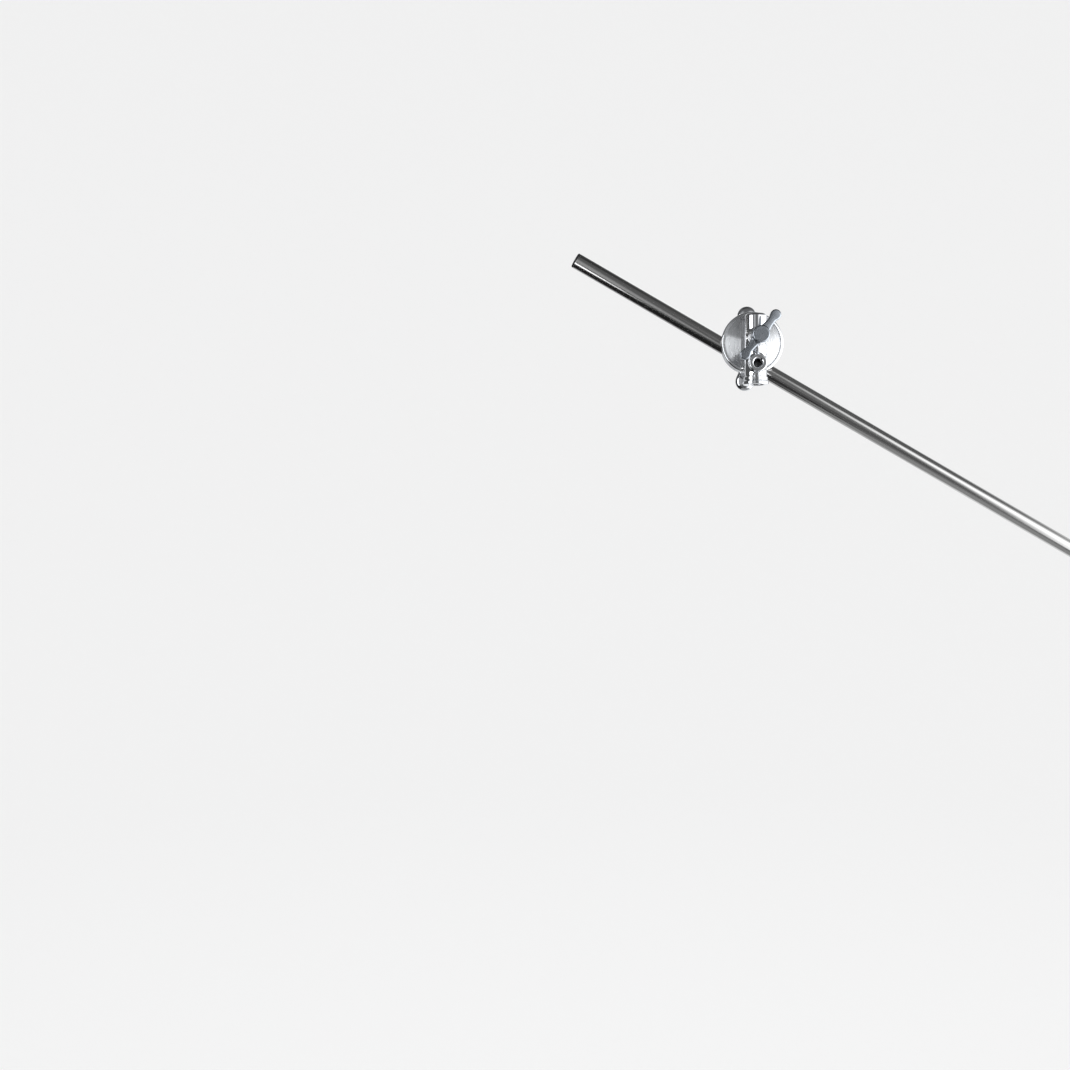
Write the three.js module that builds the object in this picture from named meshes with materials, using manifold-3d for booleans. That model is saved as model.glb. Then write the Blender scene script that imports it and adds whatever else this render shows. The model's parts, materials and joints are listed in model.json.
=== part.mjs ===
// Grip arm with its pivoting grip head, as used to hang a light out from the top of a stand.
// Millimetres, +Z up. The origin is the centre of the receiver's socket mouth, where a stand's
// stud goes in. +X is to the right and +Y is away from the viewer, along the head's pivot.
import * as THREE from 'three';
import { mergeVertices } from 'three/addons/utils/BufferGeometryUtils.js';
import Module from 'manifold-3d';

const wasm = await Module();
wasm.setup();

// Clearances, overrun and facet counts
const SEAT_GAP = 0.3;            // between two pieces that touch
const CUT_OVERRUN = 2;           // how far a cutting tool runs past what it cuts
const ROUND_SIDES = 64;          // sides of the plates
const SHAFT_SIDES = 36;          // sides of rods, bosses and barrels
const SMALL_SIDES = 24;          // sides of pins and screws
const HEXAGON_SIDES = 6;
const ARC_STEPS = 5;             // steps along a large round of a profile
const EDGE_STEPS = 2;            // and along a rounded edge

// The arm
const ARM_DIAMETER = 16;
const ARM_LENGTH = 1016;
const ARM_WALL = 2.5;
const ARM_FRONT_REACH = 200;     // from the clamp to the arm's front end
const ARM_TILT = 30.2;           // degrees, front end up
const PLUG_FLANGE = 1.5;
const PLUG_SPIGOT = 14;
const PLUG_EDGE = 0.8;

// The receiver's barrel
const BARREL_DIAMETER = 22;
const BARREL_HEIGHT = 71.3;
const BARREL_SHOULDER = 3;       // radius of its rounded top edge
const SOCKET_DIAMETER = 16.2;    // for the 5/8 inch stud of a stand
const SOCKET_DEPTH = 62;
const BEAD_DIAMETER = 25.5;      // of the lowest bead
const BEAD_STEP = 0.7;           // how much smaller the radius of the next bead is
const BEAD_HEIGHT = 3.6;
const BEAD_PITCH = 4.2;
const BEAD_COUNT = 2;
const BEAD_EDGE = 0.6;
const BEAD_GROOVE = 0.5;         // depth of the groove above and between the beads
const SOCKET_CHAMFER = 1;

// The friction dish and the neck that joins it to the barrel
const PIVOT_HEIGHT = 45;         // of the pivot's axis over the socket mouth
const DISH_DIAMETER = 63.5;
const DISH_RIM_FRONT = 17.4;     // distance of the rim's front behind the barrel's axis
const DISH_RIM_THICKNESS = 5.1;
const DISH_BEVEL = 1.2;
const DISH_LAND = 1.4;           // flat ring inside the bevel
const DISH_STEP = 0.9;           // step down from the flat ring to the face
const DISH_CROWN = 2.4;          // how far the face rises to its middle
const DISH_BACK_EDGE = 0.8;
const NECK_WIDTH = 19;
const NECK_FLARE = 4;            // radius of the neck's fillet on the dish
const NECK_BOTTOM = 15;
const NECK_TOP = 68;

// The two screw bosses and the lock screw
const BOSS_DIAMETER = 17.8;
const BOSS_FRONT = 15.6;         // distance of the boss faces in front of the barrel's axis
const BOSS_EDGE = 1;
const BOSS_FLARE = 0.9;          // fillet where a boss grows out of the barrel
const LOWER_BOSS_HEIGHT = 20.7;
const UPPER_BOSS_HEIGHT = 46.4;
const SCREW_DIAMETER = 10;
const THREAD_PITCH = 1.5;
const SPARE_HOLE_DIAMETER = 8.6;
const SPARE_HOLE_CHAMFER = 0.9;
const PAD_THICKNESS = 2;
const PAD_DIAMETER = 8.8;
const PAD_STEM_DIAMETER = 4;
const PAD_STEM_LENGTH = 3;

// The small T-handle
const LOCK_HUB_DIAMETER = 17.2;
const LOCK_HUB_FACE = 34;        // distance of the hub's face in front of the barrel's axis
const LOCK_HUB_LENGTH = 16.8;
const LOCK_HUB_EDGE = 1;
const LOCK_COLLAR_DIAMETER = 13;
const LOCK_COLLAR_LENGTH = 4.8;
const LOCK_SPAN = 60;
const LOCK_TIP_DIAMETER = 10.6;
const LOCK_NECK_WIDTH = 7.4;
const LOCK_ROOT_WIDTH = 9.6;     // width of the arms where they leave the hub
const LOCK_ARM_THICKNESS = 8;
const LOCK_ARM_EDGE = 1.6;
const LOCK_ARM_DEPTH = 7.5;      // distance of the arms' middle behind the hub's face
const LOCK_ARM_ANGLE = 52.3;     // degrees from level
const LOCK_SHANK_IN_HUB = 12;
const NECK_PLACE_SHARE = 0.68;   // place of a neck as a share of the way to its tip's middle
const TIP_ROUND_ANGLE = 130;     // degrees of a tip's round on each side of its end

// The main stud, its pin and its end nut
const STUD_DIAMETER = 10;
const STUD_ROOT = 9.6;           // distance of its inner end behind the barrel's axis
const STUD_TIP = 82;             // and of its outer end
const STUD_EDGE = 0.9;
const STUD_PIN_DIAMETER = 3;
const STUD_PIN_LENGTH = 24;
const STUD_PIN_DEPTH = 15.4;     // distance of the pin behind the barrel's axis
const NUT_WIDTH = 17;            // across its flats
const NUT_THICKNESS = 5;
const NUT_EDGE = 1;
const STUD_PAST_NUT = 1;

// The jaw plates and what lies between them
const FRICTION_DISC_DIAMETER = 58;
const FRICTION_DISC_THICKNESS = 1.2;
const JAW_DIAMETER = 58;
const JAW_THICKNESS = 10;
const JAW_OPENING = 3.4;         // space between the closed plates
const JAW_EDGE = 1;
const JAW_BACK_EDGE = 2.4;       // bevel round the rear plate's back
const ARM_OFFSET = 14.8;         // of the arm's axis from the pivot's
const SMALL_ROD_DIAMETER = 9.5;  // the 3/8 inch rods that the other groove takes
const SMALL_ROD_OFFSET = 16.5;
const SPRING_SEAT_DEPTH = 5;
const SPRING_WIRE = 0.8;
const SPRING_SLACK = 0.15;       // between the wire and the stud
const SPRING_COILS = 5;
const SPRING_STEPS = 8;
const SPRING_SIDES = 5;
const GUIDE_PIN_DIAMETER = 4;
const GUIDE_PIN_SPREAD = 20;     // distance of each guide pin from the pivot's axis
const GUIDE_PIN_HEADROOM = 1.6;  // material left behind the pins' ends

// The washers and the big T-handle
const WASHER_DIAMETER = 26;
const THRUST_WASHER_THICKNESS = 2;
const BEARING_WASHER_THICKNESS = 1.2;
const CLAMP_HUB_DIAMETER = 24;
const CLAMP_HUB_WAIST = 20;
const CLAMP_HUB_END = 18;
const CLAMP_HUB_LENGTH = 21;
const CLAMP_HUB_BASE = 4;
const CLAMP_HUB_EDGE = 1.5;
const CLAMP_SPAN = 89;
const CLAMP_TIP_DIAMETER = 20.2;
const CLAMP_NECK_WIDTH = 13.6;
const CLAMP_ARM_DEPTH = 10;      // distance of the arms' middle from the hub's base
const CLAMP_ARM_LEAN = 1.6;      // degrees from upright
const CLAMP_ARM_THICKNESS = 10.9;
const CLAMP_ARM_EDGE = 3.2;
const CLAMP_TURNS = 2;           // from clamped to fully open
const INSERT_DIAMETER = 14;
const INSERT_LENGTH = 17;

// Places along the pivot, from the dish to the stud's end
const dishBack = DISH_RIM_FRONT + DISH_RIM_THICKNESS;
const discFront = dishBack + SEAT_GAP;
const discBack = discFront + FRICTION_DISC_THICKNESS;
const frontJawFront = discBack + SEAT_GAP;
const frontJawBack = frontJawFront + JAW_THICKNESS;
const rearJawFront = frontJawBack + JAW_OPENING;
const rearJawBack = rearJawFront + JAW_THICKNESS;
const armDepth = (frontJawBack + rearJawFront) / 2;
const bearingFront = rearJawBack + SEAT_GAP;
const bearingBack = bearingFront + BEARING_WASHER_THICKNESS;
const thrustFront = bearingBack + SEAT_GAP;
const thrustBack = thrustFront + THRUST_WASHER_THICKNESS;
const clampHubBase = thrustBack + SEAT_GAP;
const clampHubTop = clampHubBase + CLAMP_HUB_LENGTH;
const clampTravel = CLAMP_TURNS * THREAD_PITCH;
const nutFront = STUD_TIP - STUD_PAST_NUT - NUT_THICKNESS;

// The spring's coil clears the stud also where its faceted wire cuts the corners of the circle
const springInner = (STUD_DIAMETER + SPRING_WIRE) / 2 + SPRING_SLACK;
const springRadius = springInner / Math.cos(Math.PI / SPRING_STEPS);
const springSeat = 2 * springRadius + SPRING_WIRE + 2 * SEAT_GAP;

const tilt = THREE.MathUtils.degToRad(ARM_TILT);
// Unit vectors in the arm's plane: along the arm to its front end, and from the pivot to the arm
const alongArm = new THREE.Vector3(-Math.cos(tilt), 0, Math.sin(tilt));
const towardArm = new THREE.Vector3(-Math.sin(tilt), 0, -Math.cos(tilt));
const pivot = new THREE.Vector3(0, 0, PIVOT_HEIGHT);

// Material finishes
const finishes = {
  chrome: { color: 0xd8d9db, roughness: 0.12, metalness: 1 },
  castAlloy: { color: 0x8f9398, roughness: 0.42, metalness: 1 },
  steel: { color: 0xa9a7a3, roughness: 0.24, metalness: 1 },
  zincSteel: { color: 0xb9bcc0, roughness: 0.35, metalness: 1 },
  bronze: { color: 0xb08a4e, roughness: 0.4, metalness: 1 },
  fibre: { color: 0x3a3633, roughness: 0.9, metalness: 0 },
  plastic: { color: 0x17181a, roughness: 0.55, metalness: 0 },
};

// A closed three.js geometry as a solid that can be cut and joined
function toSolid(geometry) {
  const plain = geometry.clone();
  plain.deleteAttribute('normal');
  plain.deleteAttribute('uv');
  const merged = mergeVertices(plain);
  return new wasm.Manifold(new wasm.Mesh({
    numProp: 3,
    vertProperties: new Float32Array(merged.attributes.position.array),
    triVerts: new Uint32Array(merged.index.array),
  }));
}

function toGeometry(solid) {
  const mesh = solid.getMesh();
  const geometry = new THREE.BufferGeometry();
  geometry.setAttribute('position', new THREE.BufferAttribute(mesh.vertProperties, mesh.numProp));
  geometry.setIndex(new THREE.BufferAttribute(mesh.triVerts, 1));
  geometry.computeVertexNormals();
  return geometry;
}

// Turns a [radius, distance] profile into a round solid about the +Y axis
function turned(profile, sides) {
  const points = profile.map(([radius, distance]) => new THREE.Vector2(radius, distance));
  return new THREE.LatheGeometry(points, sides);
}

// A profile whose ring closes on itself, for a solid with a hole along its axis
function turnedRing(profile, sides) {
  return turned([...profile, profile[0]], sides);
}

// Points of a quarter round, from straight out to straight on, for a profile's rounded edges
function quarterRound(centreRadius, centreDistance, radius, steps = EDGE_STEPS) {
  const points = [];
  for (let step = 0; step <= steps; step += 1) {
    const angle = (Math.PI / 2) * (step / steps);
    const across = centreRadius + radius * Math.cos(angle);
    points.push([across, centreDistance + radius * Math.sin(angle)]);
  }
  return points;
}

// A plain round bar or cutter about +Y between two distances
function bar(diameter, from, to, sides = SHAFT_SIDES) {
  return turned([[0, from], [diameter / 2, from], [diameter / 2, to], [0, to]], sides);
}

// A washer or sleeve about +Y between two distances
function ring(outer, inner, from, to, sides = SHAFT_SIDES) {
  return turnedRing([[inner / 2, from], [outer / 2, from], [outer / 2, to], [inner / 2, to]], sides);
}

// Stands a turned shape, made about +Y, upright along +Z
function upright(geometry) {
  return geometry.rotateX(Math.PI / 2);
}

// Turns a shape made about +Y to point along another direction
function pointed(geometry, direction, centre) {
  const turn = new THREE.Quaternion().setFromUnitVectors(new THREE.Vector3(0, 1, 0), direction);
  return geometry.applyQuaternion(turn).translate(centre.x, centre.y, centre.z);
}

// Moves a shape made about the pivot's own Y axis up to the pivot
function onPivot(geometry) {
  return geometry.translate(0, 0, PIVOT_HEIGHT);
}

// The barrel: a round post with beads round its foot and a rounded shoulder
function barrelGeometry() {
  const radius = BARREL_DIAMETER / 2;
  const profile = [[0, 0]];
  for (let bead = 0; bead < BEAD_COUNT; bead += 1) {
    const foot = bead * BEAD_PITCH;
    const beadRadius = BEAD_DIAMETER / 2 - bead * BEAD_STEP;
    profile.push([beadRadius - BEAD_EDGE, foot]);
    profile.push([beadRadius, foot + BEAD_EDGE]);
    profile.push([beadRadius, foot + BEAD_HEIGHT - BEAD_EDGE]);
    profile.push([beadRadius - BEAD_EDGE, foot + BEAD_HEIGHT]);
    profile.push([radius - BEAD_GROOVE, foot + BEAD_HEIGHT]);
    profile.push([radius - BEAD_GROOVE, foot + BEAD_PITCH]);
  }
  profile.push([radius, BEAD_COUNT * BEAD_PITCH + BEAD_GROOVE]);
  const shoulder = BARREL_HEIGHT - BARREL_SHOULDER;
  profile.push(
    ...quarterRound(radius - BARREL_SHOULDER, shoulder, BARREL_SHOULDER, ARC_STEPS),
  );
  profile.push([0, BARREL_HEIGHT]);
  return upright(turned(profile, SHAFT_SIDES));
}

// The dish: a bevelled rim, a flat ring, a step down and a face that rises to its middle
function dishGeometry() {
  const radius = DISH_DIAMETER / 2;
  const faceRadius = radius - DISH_BEVEL - DISH_LAND - DISH_STEP / 2;
  const faceDepth = DISH_RIM_FRONT + DISH_STEP;
  const profile = [];
  for (let step = 0; step <= ARC_STEPS; step += 1) {
    const share = step / ARC_STEPS;
    const rise = DISH_CROWN * (1 - share * share);
    profile.push([faceRadius * share, faceDepth - rise]);
  }
  profile.push(
    [radius - DISH_BEVEL - DISH_LAND, DISH_RIM_FRONT],
    [radius - DISH_BEVEL, DISH_RIM_FRONT],
    [radius, DISH_RIM_FRONT + DISH_BEVEL],
    [radius, dishBack - DISH_BACK_EDGE],
    [radius - DISH_BACK_EDGE, dishBack],
    [0, dishBack],
  );
  return onPivot(turned(profile, ROUND_SIDES));
}

// The neck's level section: as wide as the neck at the barrel, with a fillet out to the dish
function neckGeometry() {
  const half = NECK_WIDTH / 2;
  const dishFace = DISH_RIM_FRONT + DISH_STEP;
  const outline = new THREE.Shape();
  outline.moveTo(-half, 0);
  outline.lineTo(half, 0);
  outline.lineTo(half, dishFace - NECK_FLARE);
  outline.quadraticCurveTo(half, dishFace, half + NECK_FLARE, dishFace);
  outline.lineTo(half + NECK_FLARE, dishBack - DISH_BACK_EDGE);
  outline.lineTo(-half - NECK_FLARE, dishBack - DISH_BACK_EDGE);
  outline.lineTo(-half - NECK_FLARE, dishFace);
  outline.quadraticCurveTo(-half, dishFace, -half, dishFace - NECK_FLARE);
  outline.closePath();
  return new THREE.ExtrudeGeometry(outline, {
    depth: NECK_TOP - NECK_BOTTOM,
    bevelEnabled: false,
    curveSegments: ARC_STEPS,
  }).translate(0, 0, NECK_BOTTOM);
}

// A boss on the barrel's front, flared where it meets the barrel
function bossGeometry(height) {
  const radius = BOSS_DIAMETER / 2;
  const root = BARREL_DIAMETER / 2;
  return turned([
    [0, 0],
    [radius + BOSS_FLARE, 0],
    [radius + BOSS_FLARE, root - BOSS_FLARE],
    [radius + BOSS_FLARE / 3, root],
    [radius, root + BOSS_FLARE],
    ...quarterRound(radius - BOSS_EDGE, BOSS_FRONT - BOSS_EDGE, BOSS_EDGE),
    [0, BOSS_FRONT],
  ], SHAFT_SIDES).rotateX(Math.PI).translate(0, 0, height);
}

// Holes in the barrel's front wall run from the viewer's side into the socket
function frontHole(diameter, height) {
  return bar(diameter, -BOSS_FRONT - CUT_OVERRUN, 0).translate(0, 0, height);
}

function receiverBody() {
  const dishReach = DISH_DIAMETER / 2 - DISH_BEVEL - DISH_LAND - DISH_STEP;
  const dishSpace = toSolid(onPivot(bar(dishReach * 2, -BARREL_DIAMETER, dishBack, ROUND_SIDES)));
  const neck = toSolid(neckGeometry()).intersect(dishSpace);
  let body = toSolid(barrelGeometry()).add(toSolid(dishGeometry())).add(neck);
  for (const height of [LOWER_BOSS_HEIGHT, UPPER_BOSS_HEIGHT]) {
    body = body.add(toSolid(bossGeometry(height)));
  }
  const socket = upright(turned([
    [0, -CUT_OVERRUN],
    [SOCKET_DIAMETER / 2 + SOCKET_CHAMFER, -CUT_OVERRUN],
    [SOCKET_DIAMETER / 2 + SOCKET_CHAMFER, 0],
    [SOCKET_DIAMETER / 2, SOCKET_CHAMFER],
    [SOCKET_DIAMETER / 2, SOCKET_DEPTH],
    [0, SOCKET_DEPTH],
  ], SHAFT_SIDES));
  const countersink = turned([
    [0, -BOSS_FRONT - CUT_OVERRUN],
    [SPARE_HOLE_DIAMETER / 2 + SPARE_HOLE_CHAMFER, -BOSS_FRONT - CUT_OVERRUN],
    [SPARE_HOLE_DIAMETER / 2 + SPARE_HOLE_CHAMFER, -BOSS_FRONT],
    [SPARE_HOLE_DIAMETER / 2, -BOSS_FRONT + SPARE_HOLE_CHAMFER],
    [0, -BOSS_FRONT + SPARE_HOLE_CHAMFER],
  ], SHAFT_SIDES).translate(0, 0, LOWER_BOSS_HEIGHT);
  const pinHoleFoot = PIVOT_HEIGHT - STUD_DIAMETER / 2 - SEAT_GAP;
  const cutters = [
    socket,
    countersink,
    frontHole(SPARE_HOLE_DIAMETER, LOWER_BOSS_HEIGHT),
    frontHole(SCREW_DIAMETER + 2 * SEAT_GAP, UPPER_BOSS_HEIGHT),
    onPivot(bar(STUD_DIAMETER + 2 * SEAT_GAP, STUD_ROOT - SEAT_GAP, dishBack + CUT_OVERRUN)),
    upright(bar(STUD_PIN_DIAMETER + 2 * SEAT_GAP, pinHoleFoot, NECK_TOP + CUT_OVERRUN, SMALL_SIDES))
      .translate(0, STUD_PIN_DEPTH, 0),
  ];
  return cutters.reduce((solid, cutter) => solid.subtract(toSolid(cutter)), body);
}

function mainStud() {
  const radius = STUD_DIAMETER / 2;
  const stud = toSolid(onPivot(turned([
    [0, STUD_ROOT],
    [radius - STUD_EDGE, STUD_ROOT],
    [radius, STUD_ROOT + STUD_EDGE],
    [radius, STUD_TIP - STUD_EDGE],
    [radius - STUD_EDGE, STUD_TIP],
    [0, STUD_TIP],
  ], SMALL_SIDES)));
  const crossHole = upright(bar(
    STUD_PIN_DIAMETER + 2 * SEAT_GAP,
    PIVOT_HEIGHT - STUD_DIAMETER,
    PIVOT_HEIGHT + STUD_DIAMETER,
    SMALL_SIDES,
  )).translate(0, STUD_PIN_DEPTH, 0);
  return stud.subtract(toSolid(crossHole));
}

function studPin() {
  const foot = PIVOT_HEIGHT - STUD_DIAMETER / 2;
  return upright(bar(STUD_PIN_DIAMETER, foot, foot + STUD_PIN_LENGTH, SMALL_SIDES))
    .translate(0, STUD_PIN_DEPTH, 0);
}

function studEndNut() {
  const corner = NUT_WIDTH / 2 / Math.cos(Math.PI / 6);
  const nutBack = nutFront + NUT_THICKNESS;
  const hexagon = toSolid(bar(corner * 2, nutFront, nutBack, HEXAGON_SIDES));
  const rounding = turned([
    [0, nutFront],
    [corner - NUT_EDGE, nutFront],
    [corner, nutFront + NUT_EDGE],
    [corner, nutBack - NUT_EDGE],
    [corner - NUT_EDGE, nutBack],
    [0, nutBack],
  ], SHAFT_SIDES);
  const hole = bar(STUD_DIAMETER + 2 * SEAT_GAP, nutFront - CUT_OVERRUN, STUD_TIP + CUT_OVERRUN);
  return onPivot(toGeometry(hexagon.intersect(toSolid(rounding)).subtract(toSolid(hole))));
}

// One jaw plate about the pivot, before its grooves are cut: front is the face nearer the viewer
function jawBlank(front, frontEdge, backEdge) {
  const radius = JAW_DIAMETER / 2;
  const back = front + JAW_THICKNESS;
  const hole = STUD_DIAMETER / 2 + SEAT_GAP;
  return turnedRing([
    [hole, front],
    [radius - frontEdge, front],
    [radius, front + frontEdge],
    [radius, back - backEdge],
    [radius - backEdge, back],
    [hole, back],
  ], ROUND_SIDES);
}

// A cutter for a rod held across the jaws, at an offset from the pivot on the arm's side
function rodCutter(diameter, offset) {
  const reach = JAW_DIAMETER / 2 + CUT_OVERRUN;
  const centre = towardArm.clone().multiplyScalar(offset).setY(armDepth);
  return pointed(bar(diameter + 2 * SEAT_GAP, -reach, reach), alongArm, centre);
}

function guidePinPlace(side) {
  return alongArm.clone().multiplyScalar(side * GUIDE_PIN_SPREAD);
}

function guidePin(side) {
  const place = guidePinPlace(side);
  const from = frontJawFront + GUIDE_PIN_HEADROOM;
  const to = rearJawBack - GUIDE_PIN_HEADROOM - clampTravel;
  return onPivot(bar(GUIDE_PIN_DIAMETER, from, to, SMALL_SIDES).translate(place.x, 0, place.z));
}

// A jaw plate with its two rod grooves, spring seat and guide pin holes
function jawPlate(front, frontEdge, backEdge, seatFrom, seatTo, holeFrom, holeTo) {
  const cutters = [
    rodCutter(ARM_DIAMETER, ARM_OFFSET),
    rodCutter(SMALL_ROD_DIAMETER, -SMALL_ROD_OFFSET),
    bar(springSeat, seatFrom, seatTo),
  ];
  for (const side of [1, -1]) {
    const place = guidePinPlace(side);
    const hole = bar(GUIDE_PIN_DIAMETER + 2 * SEAT_GAP, holeFrom, holeTo, SMALL_SIDES);
    cutters.push(hole.translate(place.x, 0, place.z));
  }
  const blank = toSolid(jawBlank(front, frontEdge, backEdge));
  const plate = cutters.reduce((solid, cutter) => solid.subtract(toSolid(cutter)), blank);
  return onPivot(toGeometry(plate));
}

function frontJaw() {
  const holeFrom = frontJawFront + GUIDE_PIN_HEADROOM - SEAT_GAP;
  const seatFrom = frontJawBack - SPRING_SEAT_DEPTH;
  const past = frontJawBack + CUT_OVERRUN;
  return jawPlate(frontJawFront, JAW_EDGE, JAW_EDGE, seatFrom, past, holeFrom, past);
}

function rearJaw() {
  const holeTo = rearJawBack - GUIDE_PIN_HEADROOM;
  const seatTo = rearJawFront + SPRING_SEAT_DEPTH;
  const before = rearJawFront - CUT_OVERRUN;
  return jawPlate(rearJawFront, JAW_EDGE, JAW_BACK_EDGE, before, seatTo, before, holeTo);
}

// The spring's wire: a helix about the stud, between the seats in the two plates
class SpringCurve extends THREE.Curve {
  constructor(from, to) {
    super();
    this.from = from;
    this.to = to;
  }

  getPoint(share, target = new THREE.Vector3()) {
    const angle = share * SPRING_COILS * 2 * Math.PI;
    const distance = this.from + (this.to - this.from) * share;
    return target.set(springRadius * Math.cos(angle), distance, springRadius * Math.sin(angle));
  }
}

function springCurve() {
  const wireRadius = SPRING_WIRE / 2;
  const seatFront = frontJawBack - SPRING_SEAT_DEPTH + SEAT_GAP + wireRadius;
  const seatBack = rearJawFront + SPRING_SEAT_DEPTH - SEAT_GAP - wireRadius;
  return new SpringCurve(seatFront, seatBack);
}

function springGeometry() {
  const section = new THREE.Shape();
  for (let side = 0; side < SPRING_SIDES; side += 1) {
    const angle = (side / SPRING_SIDES) * 2 * Math.PI;
    const point = [Math.cos(angle) * (SPRING_WIRE / 2), Math.sin(angle) * (SPRING_WIRE / 2)];
    if (side === 0) section.moveTo(...point);
    else section.lineTo(...point);
  }
  section.closePath();
  return onPivot(new THREE.ExtrudeGeometry(section, {
    steps: SPRING_COILS * SPRING_STEPS,
    extrudePath: springCurve(),
    bevelEnabled: false,
  }));
}

// Least gap between turns of the spring, measured on points along its wire
function springGap() {
  const points = springCurve().getPoints(SPRING_COILS * SPRING_STEPS);
  let least = Infinity;
  points.forEach((point, index) => {
    for (let other = index + SPRING_STEPS / 2; other < points.length; other += 1) {
      least = Math.min(least, point.distanceTo(points[other]) - SPRING_WIRE);
    }
  });
  return least;
}

// One side of a T-handle's arms, as [across, along] from the hub out to the tip's end
function armOutline(span, tipDiameter, neckWidth, rootWidth, hubDiameter) {
  const tipRadius = tipDiameter / 2;
  const tipCentre = span / 2 - tipRadius;
  const neckHalf = neckWidth / 2;
  const neckPlace = tipCentre * NECK_PLACE_SHARE;
  const rootPlace = hubDiameter / 2;
  const turn = THREE.MathUtils.degToRad(TIP_ROUND_ANGLE);
  const roundSide = tipRadius * Math.sin(turn);
  const roundPlace = tipCentre + tipRadius * Math.cos(turn);
  const bend = roundPlace + (roundSide - neckHalf) * Math.tan(turn);
  const side = new THREE.Path();
  side.moveTo(rootWidth / 2, 0);
  side.lineTo(rootWidth / 2, rootPlace);
  side.quadraticCurveTo(neckHalf, (rootPlace + neckPlace) / 2, neckHalf, neckPlace);
  side.quadraticCurveTo(neckHalf, bend, roundSide, roundPlace);
  side.absarc(0, tipCentre, tipRadius, Math.PI / 2 - turn, Math.PI / 2, false);
  return side.getPoints(ARC_STEPS).map((point) => [point.x, point.y]);
}

// Both arms of a T-handle: flat faces with rounded edges, standing up and thick along Y
function handleArms(outline, thickness, edge) {
  const quarter = outline.slice(0, -1);
  const tip = outline.at(-1);
  const half = [...quarter, tip, ...quarter.map(([across, along]) => [-across, along]).reverse()];
  const other = half.slice(1, -1).map(([across, along]) => [-across, -along]);
  const shape = new THREE.Shape([...half, ...other].map((point) => new THREE.Vector2(...point)));
  return new THREE.ExtrudeGeometry(shape, {
    depth: thickness - 2 * edge,
    bevelThickness: edge,
    bevelSize: edge,
    bevelOffset: -edge,
    bevelSegments: EDGE_STEPS,
  }).translate(0, 0, edge - thickness / 2).rotateX(Math.PI / 2);
}

function lockHandle() {
  const radius = LOCK_HUB_DIAMETER / 2;
  const collar = LOCK_COLLAR_DIAMETER / 2;
  const collarFoot = LOCK_HUB_FACE - LOCK_HUB_LENGTH;
  const hub = turned([
    [0, collarFoot],
    [collar, collarFoot],
    [collar, collarFoot + LOCK_COLLAR_LENGTH - LOCK_HUB_EDGE],
    [radius - LOCK_HUB_EDGE, collarFoot + LOCK_COLLAR_LENGTH],
    [radius, collarFoot + LOCK_COLLAR_LENGTH + LOCK_HUB_EDGE],
    ...quarterRound(radius - LOCK_HUB_EDGE, LOCK_HUB_FACE - LOCK_HUB_EDGE, LOCK_HUB_EDGE),
    [0, LOCK_HUB_FACE],
  ], SHAFT_SIDES).rotateX(Math.PI);
  const outline = armOutline(
    LOCK_SPAN,
    LOCK_TIP_DIAMETER,
    LOCK_NECK_WIDTH,
    LOCK_ROOT_WIDTH,
    LOCK_HUB_DIAMETER,
  );
  const arms = handleArms(outline, LOCK_ARM_THICKNESS, LOCK_ARM_EDGE);
  arms.rotateY(THREE.MathUtils.degToRad(90 - LOCK_ARM_ANGLE));
  arms.translate(0, -LOCK_HUB_FACE + LOCK_ARM_DEPTH, 0);
  const shankEnd = collarFoot + LOCK_SHANK_IN_HUB + SEAT_GAP;
  const hole = bar(SCREW_DIAMETER + 2 * SEAT_GAP, -shankEnd, -collarFoot + CUT_OVERRUN);
  const handle = toSolid(hub).add(toSolid(arms)).subtract(toSolid(hole));
  return toGeometry(handle).translate(0, 0, UPPER_BOSS_HEIGHT);
}

// Where the pad's face stands: on the surface of the stud in the socket
const padFace = SOCKET_DIAMETER / 2;
const padBack = padFace + PAD_THICKNESS;

function lockScrew() {
  const shankEnd = LOCK_HUB_FACE - LOCK_HUB_LENGTH + LOCK_SHANK_IN_HUB;
  const screw = toSolid(bar(SCREW_DIAMETER, -shankEnd, -padBack - SEAT_GAP));
  const stemHole = bar(
    PAD_STEM_DIAMETER + 2 * SEAT_GAP,
    -padBack - PAD_STEM_LENGTH - SEAT_GAP,
    0,
    SMALL_SIDES,
  );
  return toGeometry(screw.subtract(toSolid(stemHole))).translate(0, 0, UPPER_BOSS_HEIGHT);
}

function lockPad() {
  return turned([
    [0, padFace],
    [PAD_DIAMETER / 2, padFace],
    [PAD_DIAMETER / 2, padBack],
    [PAD_STEM_DIAMETER / 2, padBack],
    [PAD_STEM_DIAMETER / 2, padBack + PAD_STEM_LENGTH],
    [0, padBack + PAD_STEM_LENGTH],
  ], SMALL_SIDES).rotateX(Math.PI).translate(0, 0, UPPER_BOSS_HEIGHT);
}

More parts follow.
